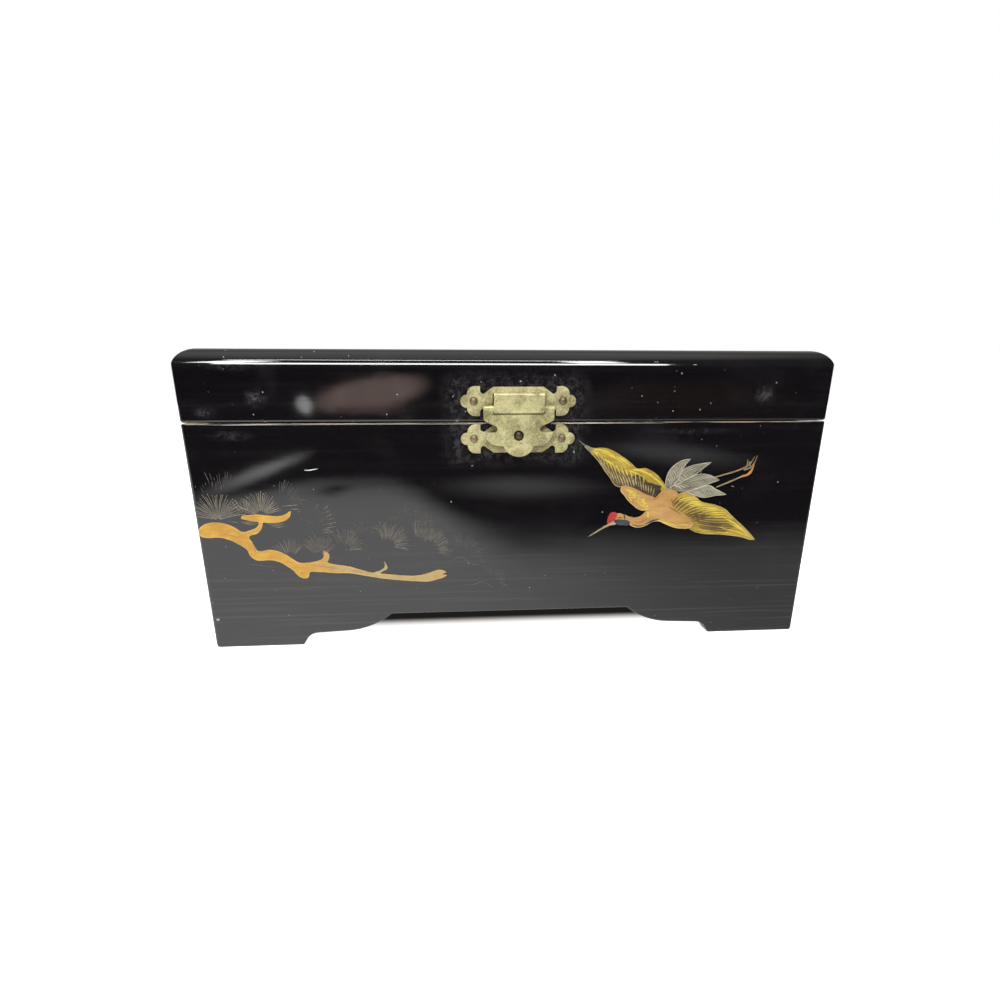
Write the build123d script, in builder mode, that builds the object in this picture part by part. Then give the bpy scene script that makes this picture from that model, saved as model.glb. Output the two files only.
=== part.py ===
from build123d import *

import os
from math import acos, atan, cos, degrees, hypot, radians, sqrt, tan

# A lacquered wooden box: a case on bracket feet, a hinged lid and a stamped brass hasp on the front.
# Millimetres. +Z is up, the front faces -Y, and the origin is on the floor under the middle of everything.

# Overall size
case_width = 280.0  # over the boards, left to right
case_depth = 180.0  # over the boards, front to back
case_height = 101.0  # floor to the case's rim
lid_height = 29.2  # lid's rim to its top
seam_gap = 0.3  # between the two closed rims

# Boards
case_wall = 9.0
lid_wall_step = 0.5  # the lid's rims are this much thinner, to clear the case's lining
lid_top_thickness = 10.0
corner_lap = 5.0  # what a long board keeps outside the end of a side board
corner_radius = 2.0  # upright corners of case and lid
edge_radius = 1.0  # eased rims, feet and aprons
top_radius = 9.0  # round-over of the lid's upper edge

# Bottom panel, in grooves above the aprons
floor_height = 20.0  # underside of the panel
floor_thickness = 4.0
groove_depth = 4.0
groove_clearance = 0.25

# Apron: each board is cut between its two feet, along a step and then a hollow curve
front_foot_length = 41.7  # corner of the box to the inner end of a foot
side_foot_length = 30.0
apron_rise = 14.4  # flat middle of the cut
step_low = 5.6  # step's height at its foot
step_high = 6.4  # step's height where the hollow curve begins
step_length = 17.6
riser_run = 3.7  # how far the foot's inner end leans
riser_radius = 6.5
curve_run = 20.7  # hollow curve, along the board
front_cut_shift = -1.5  # the front's cut is a little off the middle

# Glue blocks behind the feet
block_leg = 18.0
block_floor_gap = 1.5

# Velvet-covered cards inside the case
lining_thickness = 2.0
lining_rise = 3.0  # stands this far over the rim, inside the lid
lining_edge_radius = 0.8
partition_thickness = 5.0
partition_x = 42.0
partition_drop = 12.0  # below the rim
card_clearance = 0.2

# Lid's lining and mirror
lid_lining_thickness = 2.0
mirror_width = 190.0
mirror_depth = 104.0
mirror_thickness = 2.0
mirror_clearance = 0.2
beading_width = 7.0
beading_lip = 2.5  # laps over the glass
beading_cover = 1.5  # thickness under the glass
beading_radius = 1.2

# Butt hinges
hinge_spacing = 170.0
hinge_length = 30.0
hinge_leaf_shoulder = 1.5  # wood of the lid's rim left in front of a leaf
hinge_sheet = 0.9
knuckle_radius = 1.85
knuckle_clearance = 0.15  # knuckle to back face
knuckle_count = 5
knuckle_gap = 0.2
pin_radius = 0.9
running_fit = 0.05
lid_open_angle = 100.0
stop_rise = 1.35  # stop lug on the lid's knuckles, out from their barrel
stop_thickness = 1.2
stop_clearance = 0.1
screw_spacing = 18.0
screw_inset = 3.4  # from the back face
screw_radius = 0.9
screw_head_radius = 1.6
screw_length = 7.0
screw_slot_width = 0.4
screw_slot_depth = 0.3

# Hasp plates
hasp_x = 1.0  # off the middle of the front
plate_thickness = 0.8
upper_plate_rise = 8.55  # heights on the hasp are counted from the middle of the seam
lower_plate_drop = 6.95
plate_half_height = 5.8  # plain middle part
plate_flat_half = 10.7  # straight part of its edge
neck_half_width = 14.3
neck_half_height = 3.3
notch_radius = 1.35
notch_u = 15.0
notch_v = 4.35
lobe_u = 18.6
lobe_v = 2.75
lobe_radius = 3.3
tip_u = 22.2
tip_radius = 2.55
nail_u = 19.1
nail_shank_radius = 0.7
nail_head_radius = 1.8
nail_head_height = 1.0
nail_length = 6.0

# Hasp leaf, rolled round a bar at its top
bar_rise = 5.45
bar_radius = 1.3
bar_gap = 0.2  # bar to upper plate
leaf_thickness = 0.7
leaf_inset = 0.1  # sheet's face behind the front of its bar
leaf_half_width = 15.1  # at the shoulders
shoulder_rise = 1.95
shoulder_low_u = 13.6
shoulder_low_rise = 0.05
waist_drop = 2.75
waist_radius = 1.4
waist_u = 10.5  # centre of the waist notch's round end
wing_u = 14.6
wing_mid_u = 12.9
wing_mid_drop = 8.05
wing_low_u = 9.6
wing_low_drop = 9.65
tab_half_width = 6.65
tab_top_drop = 9.85
tab_bottom_drop = 14.25
tab_bend_drop = 7.75
tab_bend_angle = 10.0
tab_bend_radius = 2.0
leaf_hole_drop = 5.55
leaf_hole_radius = 2.2
stud_clearance = 0.25
stud_dome = 0.9
stud_drop = 0.1  # top of the dome below the leaf's face
stud_shank_radius = 0.8
stud_shank_length = 4.0

# Strap of the upper plate, bent over the leaf's bar
strap_half_width = 10.75
strap_thickness = 0.7
strap_clearance = 0.08
strap_top_rise = 12.25
strap_bend_radius = 1.2
strap_curl = 190.0
strap_edge_radius = 0.15
window_clearance = 0.25

# Places worked out from the sizes above
box_height = case_height + seam_gap + lid_height
seam_z = case_height + seam_gap / 2
lid_rim_z = case_height + seam_gap
lid_top_z = box_height - lid_top_thickness
half_width = case_width / 2
lid_wall = case_wall - lid_wall_step

upper_plate_z = seam_z + upper_plate_rise
lower_plate_z = seam_z - lower_plate_drop
strap_top_z = seam_z + strap_top_rise
bar_z = seam_z + bar_rise
shoulder_z = seam_z + shoulder_rise
shoulder_low_z = seam_z + shoulder_low_rise
waist_z = seam_z - waist_drop
wing_mid_z = seam_z - wing_mid_drop
wing_low_z = seam_z - wing_low_drop
tab_top_z = seam_z - tab_top_drop
tab_bottom_z = seam_z - tab_bottom_drop
tab_bend_z = seam_z - tab_bend_drop
leaf_hole_z = seam_z - leaf_hole_drop

bar_p = plate_thickness + bar_gap + bar_radius  # bar's axis, out from the front face
leaf_front_p = bar_p + bar_radius - leaf_inset
leaf_middle_p = leaf_front_p - leaf_thickness / 2
strap_outer_radius = bar_radius + strap_clearance + strap_thickness
strap_middle_radius = bar_radius + strap_clearance + strap_thickness / 2
bend_turn = radians(tab_bend_angle)
tab_flare = (tab_bend_z - tab_bottom_z) * tan(bend_turn)
front_projection = leaf_middle_p + tab_flare + leaf_thickness / 2 / cos(bend_turn)

hinge_leaf_depth = lid_wall - hinge_leaf_shoulder
hinge_offset = knuckle_radius + knuckle_clearance
stop_reach = knuckle_radius + stop_rise
stop_corner = hypot(stop_reach, stop_thickness / 2)
stop_corner_angle = degrees(atan(stop_thickness / 2 / stop_reach))
stop_open_angle = stop_corner_angle - 180 + degrees(acos((hinge_offset - stop_clearance) / stop_corner))
stop_rest_angle = stop_open_angle + lid_open_angle
back_projection = hinge_offset + stop_corner * cos(radians(stop_rest_angle + stop_corner_angle))

case_y = (front_projection - back_projection) / 2
front_y = case_y - case_depth / 2
back_y = case_y + case_depth / 2
hinge_y = back_y + hinge_offset

front_plane = Plane(origin=(0, front_y, 0), x_dir=(1, 0, 0), z_dir=(0, -1, 0))
back_plane = Plane(origin=(0, back_y, 0), x_dir=(-1, 0, 0), z_dir=(0, 1, 0))
left_plane = Plane(origin=(-half_width, case_y, 0), x_dir=(0, -1, 0), z_dir=(-1, 0, 0))
hasp_plane = Plane(origin=(hasp_x, front_y, 0), x_dir=(1, 0, 0), z_dir=(0, -1, 0))
# Local x runs out from the front face here, and local y runs up.
hasp_section = Plane(origin=(hasp_x, front_y, 0), x_dir=(0, -1, 0), z_dir=(-1, 0, 0))


def apron_cut(half_length, foot_length):
    """Shape to take out of a board's lower edge, between its two feet."""
    foot_end = half_length - foot_length
    step_end = foot_end - riser_run
    curve_start = step_end - step_length
    curve_end = curve_start - curve_run
    below = -edge_radius
    with BuildSketch(mode=Mode.PRIVATE) as cut:
        with BuildLine():
            Line((0, apron_rise), (curve_end, apron_rise))
            TangentArc(
                (curve_start, step_high),
                (curve_end, apron_rise),
                tangent=(-step_length, step_high - step_low),
            )
            FilletPolyline(
                (curve_start, step_high), (step_end, step_low), (foot_end, 0), radius=riser_radius
            )
            Polyline((foot_end, 0), (foot_end, below), (0, below))
            mirror(about=Plane.YZ)
        make_face()
    return cut.sketch


def long_board(face_plane, wall, low, high, cut=None):
    """Front or back board, seen from outside on its face plane, with a rabbet at each end.

    A board with a cut is a case board, eased all round. A lid rim is eased along its lower edge only.
    """
    outward = Axis(face_plane.origin, face_plane.z_dir)
    with BuildPart() as board:
        with BuildSketch(face_plane):
            with Locations((0, (low + high) / 2)):
                Rectangle(case_width, high - low)
            if cut is not None:
                add(cut, mode=Mode.SUBTRACT)
        extrude(amount=-wall)
        fillet(board.edges().filter_by(Axis.Z).group_by(outward)[-1], radius=corner_radius)
        outer_edges = board.faces().sort_by(outward)[-1].edges().filter_by(Axis.Z, reverse=True)
        if cut is None:
            outer_edges = outer_edges.group_by(Axis.Z)[0]
        fillet(outer_edges, radius=edge_radius)
        with BuildSketch(face_plane.offset(-corner_lap)):
            for side in (-1, 1):
                with Locations((side * (half_width - wall / 2), (low + high) / 2)):
                    Rectangle(wall, high - low)
        extrude(amount=-(wall - corner_lap), mode=Mode.SUBTRACT)
    return board


def left_board(wall, low, high, cut=None):
    """Left side board, whose ends lie in the long boards' rabbets."""
    with BuildPart() as board:
        with BuildSketch(left_plane):
            with Locations((0, (low + high) / 2)):
                Rectangle(case_depth - 2 * corner_lap, high - low)
            if cut is not None:
                add(cut, mode=Mode.SUBTRACT)
        extrude(amount=-wall)
        outer_edges = board.faces().sort_by(Axis.X)[0].edges().filter_by(Axis.Z, reverse=True)
        if cut is None:
            outer_edges = outer_edges.group_by(Axis.Z)[0]
        fillet(outer_edges, radius=edge_radius)
    return board


def slab(width, depth, low, high, centre_x=0.0, centre_y=case_y):
    """Upright-sided slab, as a private solid to add or take away."""
    with BuildPart(mode=Mode.PRIVATE) as block:
        with BuildSketch(Plane.XY.offset(low)):
            with Locations((centre_x, centre_y)):
                Rectangle(width, depth)
        extrude(amount=high - low)
    return block.part


def card(width, depth, low, high, centre_x=0.0, centre_y=case_y):
    """Velvet-covered card with a soft upper rim."""
    with BuildPart() as piece:
        add(slab(width, depth, low, high, centre_x, centre_y))
        fillet(piece.edges().group_by(Axis.Z)[-1], radius=lining_edge_radius)
    return piece


def domed_nail():
    """Domed nail, its head resting on z = 0 and its shank below."""
    dome_radius = (nail_head_radius**2 + nail_head_height**2) / (2 * nail_head_height)
    with BuildPart(mode=Mode.PRIVATE) as nail:
        with BuildSketch(Plane.XZ):
            with BuildLine():
                Polyline(
                    (0, nail_head_height), (0, -nail_length), (nail_shank_radius, -nail_length),
                    (nail_shank_radius, 0), (nail_head_radius, 0),
                )
                RadiusArc((nail_head_radius, 0), (0, nail_head_height), -dome_radius)
            make_face()
        revolve(axis=Axis.Z)
    return nail.part


def wood_screw():
    """Slotted countersunk screw, its head flush with z = 0 and its point below."""
    head_height = screw_head_radius - screw_radius
    with BuildPart(mode=Mode.PRIVATE) as screw:
        with BuildSketch(Plane.XZ):
            with BuildLine():
                Polyline(
                    (0, 0), (screw_head_radius, 0), (screw_radius, -head_height),
                    (screw_radius, -screw_length + screw_radius), (0, -screw_length), close=True,
                )
            make_face()
        revolve(axis=Axis.Z)
        with BuildSketch():
            Rectangle(2 * screw_head_radius, screw_slot_width)
        extrude(amount=-screw_slot_depth, mode=Mode.SUBTRACT)
    return screw.part


def screw_space():
    """Room for one screw in leaf and wood, without its slot."""
    head_height = screw_head_radius - screw_radius
    with BuildPart(mode=Mode.PRIVATE) as space:
        with BuildSketch(Plane.XZ):
            with BuildLine():
                Polyline(
                    (0, 0), (screw_head_radius, 0), (screw_radius, -head_height),
                    (screw_radius, -screw_length), (0, -screw_length), close=True,
                )
            make_face()
        revolve(axis=Axis.Z)
    return space.part


def on_rim(up):
    """Plane on the hinges' side of the seam: the case's rim faces up, the lid's rim faces down."""
    rim_z = case_height if up else lid_rim_z
    return Plane(origin=(0, 0, rim_z), x_dir=(1, 0, 0), z_dir=(0, 0, 1 if up else -1))


def hinge_places(spacings=(0.0,)):
    """Middle of each hinge along X, or of each screw in it."""
    return [side * hinge_spacing / 2 + shift for side in (-1, 1) for shift in spacings]


def screw_places(up):
    """Places of the screws of both leaves on one rim, with their heads out of the wood."""
    plane = on_rim(up)
    shifts = (-screw_spacing / 2, screw_spacing / 2)
    return [
        Plane(origin=(x, back_y - screw_inset, plane.origin.Z), x_dir=(1, 0, 0), z_dir=plane.z_dir)
        for x in hinge_places(shifts)
    ]


def hinge_leaf(middle_x, up, first_knuckle):
    """One leaf with every second knuckle. The lid's leaf also carries the stop lugs."""
    direction = 1 if up else -1
    rim = on_rim(up)
    pitch = hinge_length / knuckle_count
    inner_y = back_y - hinge_leaf_depth
    clear_y = hinge_y - knuckle_radius - knuckle_gap
    bore = pin_radius if up else pin_radius + running_fit
    with BuildPart(mode=Mode.PRIVATE) as leaf:
        with BuildSketch(Plane.XY.offset(rim.origin.Z)):
            with Locations((middle_x, (inner_y + clear_y) / 2)):
                Rectangle(hinge_length, clear_y - inner_y)
            for index in range(first_knuckle, knuckle_count, 2):
                knuckle_x = middle_x + (index - (knuckle_count - 1) / 2) * pitch
                with Locations((knuckle_x, (inner_y + hinge_y) / 2)):
                    Rectangle(pitch - knuckle_gap, hinge_y - inner_y)
        extrude(amount=-direction * hinge_sheet)
        for index in range(first_knuckle, knuckle_count, 2):
            knuckle_x = middle_x + (index - (knuckle_count - 1) / 2) * pitch
            knuckle_plane = Plane(origin=(knuckle_x, hinge_y, seam_z), x_dir=(0, 1, 0), z_dir=(1, 0, 0))
            with BuildSketch(knuckle_plane):
                Circle(knuckle_radius)
                if not up:
                    with Locations(Rotation(0, 0, stop_rest_angle)):
                        with Locations((stop_reach / 2, 0)):
                            Rectangle(stop_reach, stop_thickness)
            extrude(amount=(pitch - knuckle_gap) / 2, both=True)
        pin_plane = Plane(origin=(middle_x, hinge_y, seam_z), x_dir=(0, 1, 0), z_dir=(1, 0, 0))
        with BuildSketch(pin_plane):
            Circle(bore)
        extrude(amount=hinge_length, both=True, mode=Mode.SUBTRACT)
        with Locations(*screw_places(up)):
            add(screw_space(), mode=Mode.SUBTRACT)
    return leaf.part


def mortises(up):
    """Shallow beds for both leaves of one rim, with the screws' holes."""
    rim = on_rim(up)
    with BuildPart(mode=Mode.PRIVATE) as beds:
        with BuildSketch(rim):
            for x in hinge_places():
                with Locations((x, (back_y - hinge_leaf_depth / 2) * (1 if up else -1))):
                    Rectangle(hinge_length, hinge_leaf_depth)
        extrude(amount=-hinge_sheet)
        with Locations(*screw_places(up)):
            add(screw_space())
    return beds.part


def plate_outline(centre_z):
    """Stamped plate with a plain middle and a trefoil at each end, in the hasp's plane."""
    wall_u = notch_u + notch_radius
    lobe_top = lobe_v + lobe_radius
    with BuildSketch(mode=Mode.PRIVATE) as outline:
        Polygon(
            (-plate_flat_half, plate_half_height),
            (-neck_half_width, neck_half_height),
            (-neck_half_width, -neck_half_height),
            (-plate_flat_half, -plate_half_height),
            (plate_flat_half, -plate_half_height),
            (neck_half_width, -neck_half_height),
            (neck_half_width, neck_half_height),
            (plate_flat_half, plate_half_height),
            align=None,
        )
        Rectangle(2 * lobe_u, 2 * neck_half_height)
        for side in (-1, 1):
            with Locations((side * (wall_u + lobe_u) / 2, 0)):
                Rectangle(lobe_u - wall_u, 2 * lobe_top)
            with Locations((side * lobe_u, lobe_v), (side * lobe_u, -lobe_v)):
                Circle(lobe_radius)
            with Locations((side * tip_u, 0)):
                Circle(tip_radius)
            with Locations((side * notch_u, notch_v), (side * notch_u, -notch_v)):
                Circle(notch_radius, mode=Mode.SUBTRACT)
            with Locations((side * notch_u, notch_v + lobe_radius), (side * notch_u, -notch_v - lobe_radius)):
                Rectangle(2 * notch_radius, 2 * lobe_radius, mode=Mode.SUBTRACT)
            with Locations((side * nail_u, 0)):
                Circle(nail_shank_radius, mode=Mode.SUBTRACT)
    return outline.sketch.moved(Location((0, centre_z, 0)))


def leaf_outline():
    """The leaf below its bar: shoulders, waist notches, wings and finger tab, with the strap's window."""
    notch_low = waist_z - waist_radius
    notch_high = waist_z + waist_radius
    tab_drop = tab_top_z - tab_bottom_z
    tab_radius = (tab_half_width**2 + tab_drop**2) / (2 * tab_drop)
    window_low = bar_z - strap_outer_radius - window_clearance
    with BuildSketch(mode=Mode.PRIVATE) as outline:
        with BuildLine():
            Polyline((0, bar_z), (leaf_half_width, bar_z), (leaf_half_width, shoulder_z))
            TangentArc(
                (leaf_half_width, shoulder_z), (shoulder_low_u, shoulder_low_z), tangent=(0, -1)
            )
            Line((shoulder_low_u, shoulder_low_z), (waist_u, notch_high))
            ThreePointArc((waist_u, notch_high), (waist_u - waist_radius, waist_z), (waist_u, notch_low))
            Line((waist_u, notch_low), (wing_u, notch_low))
            ThreePointArc((wing_u, notch_low), (wing_mid_u, wing_mid_z), (wing_low_u, wing_low_z))
            Line((wing_low_u, wing_low_z), (tab_half_width, tab_top_z))
            RadiusArc((tab_half_width, tab_top_z), (0, tab_bottom_z), tab_radius)
            mirror(about=Plane.YZ)
        make_face()
        with Locations((0, leaf_hole_z)):
            Circle(leaf_hole_radius, mode=Mode.SUBTRACT)
        with Locations((0, (bar_z + window_low) / 2)):
            Rectangle(
                2 * (strap_half_width + window_clearance), bar_z - window_low, mode=Mode.SUBTRACT
            )
    return outline.sketch


def nail_planes(centre_z):
    """Planes of a plate's two nails, under their heads."""
    return [
        Plane(
            origin=(hasp_x + side * nail_u, front_y - plate_thickness, centre_z),
            x_dir=(1, 0, 0),
            z_dir=(0, -1, 0),
        )
        for side in (-1, 1)
    ]


def nail_space(centre_z):
    """Holes for the shanks of a plate's two nails."""
    with BuildPart(mode=Mode.PRIVATE) as space:
        with Locations(*nail_planes(centre_z)):
            Cylinder(nail_shank_radius, nail_length, align=(Align.CENTER, Align.CENTER, Align.MAX))
    return space.part


stud_plane = Plane(origin=(hasp_x, front_y - plate_thickness, leaf_hole_z), x_dir=(1, 0, 0), z_dir=(0, -1, 0))

# Case boards
front_cut = apron_cut(half_width, front_foot_length).moved(Location((front_cut_shift, 0, 0)))
back_cut = apron_cut(half_width, front_foot_length)
side_cut = apron_cut(case_depth / 2, side_foot_length)
panel_space = slab(
    case_width - 2 * (case_wall - groove_depth),
    case_depth - 2 * (case_wall - groove_depth),
    floor_height,
    floor_height + floor_thickness,
)

with BuildPart() as case_front_board:
    add(long_board(front_plane, case_wall, 0, case_height, front_cut).part)
    add(panel_space, mode=Mode.SUBTRACT)
    add(nail_space(lower_plate_z), mode=Mode.SUBTRACT)
    with Locations(stud_plane):
        Hole(stud_shank_radius, stud_shank_length + plate_thickness)

with BuildPart() as case_back_board:
    add(long_board(back_plane, case_wall, 0, case_height, back_cut).part)
    add(panel_space, mode=Mode.SUBTRACT)
    add(mortises(up=True), mode=Mode.SUBTRACT)

with BuildPart() as case_left_board:
    add(left_board(case_wall, 0, case_height, side_cut).part)
    add(panel_space, mode=Mode.SUBTRACT)

with BuildPart() as case_right_board:
    mirror(case_left_board.part, about=Plane.YZ)

# Bottom panel and the glue blocks under it
inner_width = case_width - 2 * case_wall
inner_depth = case_depth - 2 * case_wall
panel_grip = groove_depth - groove_clearance

with BuildPart() as case_bottom_panel:
    add(
        slab(
            inner_width + 2 * panel_grip,
            inner_depth + 2 * panel_grip,
            floor_height,
            floor_height + floor_thickness,
        )
    )

with BuildPart() as corner_glue_blocks:
    with BuildSketch(Plane.XY.offset(block_floor_gap)):
        for side_x in (-1, 1):
            for side_y in (-1, 1):
                corner_x = side_x * inner_width / 2
                corner_y = case_y + side_y * inner_depth / 2
                Polygon(
                    (corner_x, corner_y),
                    (corner_x - side_x * block_leg, corner_y),
                    (corner_x, corner_y - side_y * block_leg),
                    align=None,
                )
    extrude(amount=floor_height - block_floor_gap)

# Linings
lining_low = floor_height + floor_thickness
lining_high = case_height + lining_rise
side_lining_depth = inner_depth - 2 * lining_thickness
lining_front_y = case_y - inner_depth / 2 + lining_thickness / 2
lining_back_y = case_y + inner_depth / 2 - lining_thickness / 2
lining_side_x = inner_width / 2 - lining_thickness / 2

lining_front = card(inner_width, lining_thickness, lining_low, lining_high, 0, lining_front_y)
lining_back = card(inner_width, lining_thickness, lining_low, lining_high, 0, lining_back_y)
lining_left = card(lining_thickness, side_lining_depth, lining_low, lining_high, -lining_side_x)
lining_right = card(lining_thickness, side_lining_depth, lining_low, lining_high, lining_side_x)
partition = card(
    partition_thickness, side_lining_depth, lining_low, case_height - partition_drop, partition_x
)

# Floor cards on both sides of the partition
card_depth = side_lining_depth - 2 * card_clearance
lined_half = inner_width / 2 - lining_thickness
large_low_x = -lined_half + card_clearance
large_high_x = partition_x - partition_thickness / 2 - card_clearance
small_low_x = partition_x + partition_thickness / 2 + card_clearance
small_high_x = lined_half - card_clearance
card_high = lining_low + lining_thickness

floor_card_large = card(
    large_high_x - large_low_x, card_depth, lining_low, card_high, (large_low_x + large_high_x) / 2
)
floor_card_small = card(
    small_high_x - small_low_x, card_depth, lining_low, card_high, (small_low_x + small_high_x) / 2
)

# Lid boards
with BuildPart() as lid_front_rim:
    add(long_board(front_plane, lid_wall, lid_rim_z, lid_top_z).part)
    add(nail_space(upper_plate_z), mode=Mode.SUBTRACT)

with BuildPart() as lid_back_rim:
    add(long_board(back_plane, lid_wall, lid_rim_z, lid_top_z).part)
    add(mortises(up=False), mode=Mode.SUBTRACT)

lid_left_rim = left_board(lid_wall, lid_rim_z, lid_top_z)

with BuildPart() as lid_right_rim:
    mirror(lid_left_rim.part, about=Plane.YZ)

with BuildPart() as lid_top_board:
    with BuildSketch(Plane.XY.offset(lid_top_z)):
        with Locations((0, case_y)):
            RectangleRounded(case_width, case_depth, corner_radius)
    extrude(amount=lid_top_thickness)
    for section_plane, span in (
        (Plane(origin=(0, case_y, 0), x_dir=(1, 0, 0), z_dir=(0, -1, 0)), case_width),
        (Plane(origin=(0, case_y, 0), x_dir=(0, 1, 0), z_dir=(1, 0, 0)), case_depth),
    ):
        with BuildSketch(section_plane) as section:
            with Locations((0, lid_top_z + lid_top_thickness / 2)):
                Rectangle(span, lid_top_thickness)
            fillet(section.vertices().group_by(Axis.Y)[-1], radius=top_radius)
        extrude(amount=case_width, both=True, mode=Mode.INTERSECT)

# Lid lining, mirror and the four strips of beading that hold it
lid_inner_width = case_width - 2 * lid_wall
lid_inner_depth = case_depth - 2 * lid_wall
glass_top = lid_top_z - lid_lining_thickness
glass_low = glass_top - mirror_thickness
space_width = mirror_width + 2 * mirror_clearance
space_depth = mirror_depth + 2 * mirror_clearance

with BuildPart() as lid_lining:
    add(slab(lid_inner_width, lid_inner_depth, glass_top, lid_top_z))

with BuildPart() as mirror_glass:
    add(slab(mirror_width, mirror_depth, glass_low, glass_top))

beading_low = glass_low - beading_cover
strip_width = beading_width + beading_lip
strip_length = space_width + 2 * beading_width
glass_space = slab(space_width, space_depth, glass_low, glass_top)

with BuildPart() as mirror_beading_long:
    for side in (-1, 1):
        strip_y = case_y + side * (space_depth + beading_width - beading_lip) / 2
        add(slab(strip_length, strip_width, beading_low, glass_top, 0, strip_y))
    fillet(mirror_beading_long.edges().group_by(Axis.Z)[0].filter_by(Axis.X), radius=beading_radius)
    add(glass_space, mode=Mode.SUBTRACT)

with BuildPart() as mirror_beading_short:
    for side in (-1, 1):
        strip_x = side * (space_width + beading_width - beading_lip) / 2
        add(slab(strip_width, space_depth - 2 * beading_lip, beading_low, glass_top, strip_x))
    fillet(mirror_beading_short.edges().group_by(Axis.Z)[0].filter_by(Axis.Y), radius=beading_radius)
    add(glass_space, mode=Mode.SUBTRACT)

# Hinges, with the pins held in the case's knuckles
with BuildPart() as hinge_case_leaves:
    for x in hinge_places():
        add(hinge_leaf(x, up=True, first_knuckle=0))

with BuildPart() as hinge_lid_leaves:
    for x in hinge_places():
        add(hinge_leaf(x, up=False, first_knuckle=1))

with BuildPart() as hinge_pins:
    for x in hinge_places():
        with BuildSketch(Plane(origin=(x, hinge_y, seam_z), x_dir=(0, 1, 0), z_dir=(1, 0, 0))):
            Circle(pin_radius)
        extrude(amount=hinge_length / 2, both=True)

with BuildPart() as hinge_case_screws:
    with Locations(*screw_places(up=True)):
        add(wood_screw())

with BuildPart() as hinge_lid_screws:
    with Locations(*screw_places(up=False)):
        add(wood_screw())

# Hasp: upper plate, from which the strap is bent round the leaf's bar
flange_z = strap_top_z - strap_thickness / 2
strap_p = bar_p + strap_middle_radius
bend_p = strap_p - strap_bend_radius
bend_z = flange_z - strap_bend_radius
curl_reach = sqrt(strap_outer_radius**2 - (bar_p - plate_thickness) ** 2)
plate_window_low = bar_z - curl_reach - window_clearance
plate_window_high = strap_top_z - strap_thickness
plate_window_middle = (plate_window_low + plate_window_high) / 2

with BuildPart() as strap:
    with BuildSketch(hasp_section):
        with BuildLine():
            Line((plate_thickness / 2, flange_z), (bend_p, flange_z))
            CenterArc((bend_p, bend_z), strap_bend_radius, 90, -90)
            Line((strap_p, bend_z), (strap_p, bar_z))
            CenterArc((bar_p, bar_z), strap_middle_radius, 0, -strap_curl)
        trace(line_width=strap_thickness)
    extrude(amount=strap_half_width, both=True)
    fillet(strap.faces().filter_by(Axis.X).edges(), radius=strap_edge_radius)

with BuildPart() as hasp_upper_plate:
    with BuildSketch(hasp_plane):
        add(plate_outline(upper_plate_z))
        with Locations((0, plate_window_middle)):
            Rectangle(
                2 * (strap_half_width + window_clearance),
                plate_window_high - plate_window_low,
                mode=Mode.SUBTRACT,
            )
    extrude(amount=plate_thickness)
    add(strap.part)

with BuildPart() as hasp_lower_plate:
    with BuildSketch(hasp_plane):
        add(plate_outline(lower_plate_z))
        with Locations((0, leaf_hole_z)):
            Circle(stud_shank_radius, mode=Mode.SUBTRACT)
    extrude(amount=plate_thickness)

with BuildPart() as hasp_upper_nails:
    with Locations(*nail_planes(upper_plate_z)):
        add(domed_nail())

with BuildPart() as hasp_lower_nails:
    with Locations(*nail_planes(lower_plate_z)):
        add(domed_nail())

# Domed stud that the leaf's hole snaps over
stud_radius = leaf_hole_radius - stud_clearance
stud_height = leaf_front_p - stud_drop - plate_thickness
dome_sphere = (stud_radius**2 + stud_dome**2) / (2 * stud_dome)

with BuildPart() as stud_form:
    with BuildSketch(Plane.XZ):
        with BuildLine():
            Polyline(
                (0, stud_height),
                (0, -stud_shank_length - plate_thickness),
                (stud_shank_radius, -stud_shank_length - plate_thickness),
                (stud_shank_radius, 0),
                (stud_radius, 0),
                (stud_radius, stud_height - stud_dome),
            )
            RadiusArc((stud_radius, stud_height - stud_dome), (0, stud_height), -dome_sphere)
        make_face()
    revolve(axis=Axis.Z)

with BuildPart() as hasp_stud:
    with Locations(stud_plane):
        add(stud_form.part)

# Hasp leaf: a sheet bent out at the finger tab, stamped to its outline, under a bar that turns in the strap
sheet_end_z = tab_bottom_z - leaf_thickness
sheet_end_p = leaf_middle_p + (tab_bend_z - sheet_end_z) * tan(bend_turn)

with BuildPart() as hasp_leaf:
    with BuildSketch(hasp_section):
        with BuildLine():
            FilletPolyline(
                (leaf_middle_p, bar_z),
                (leaf_middle_p, tab_bend_z),
                (sheet_end_p, sheet_end_z),
                radius=tab_bend_radius,
            )
        trace(line_width=leaf_thickness)
    extrude(amount=leaf_half_width, both=True)
    with BuildSketch(hasp_plane):
        add(leaf_outline())
    extrude(amount=2 * front_projection, mode=Mode.INTERSECT)
    with BuildSketch(hasp_section):
        with Locations((bar_p, bar_z)):
            Circle(bar_radius)
    extrude(amount=leaf_half_width, both=True)

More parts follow.
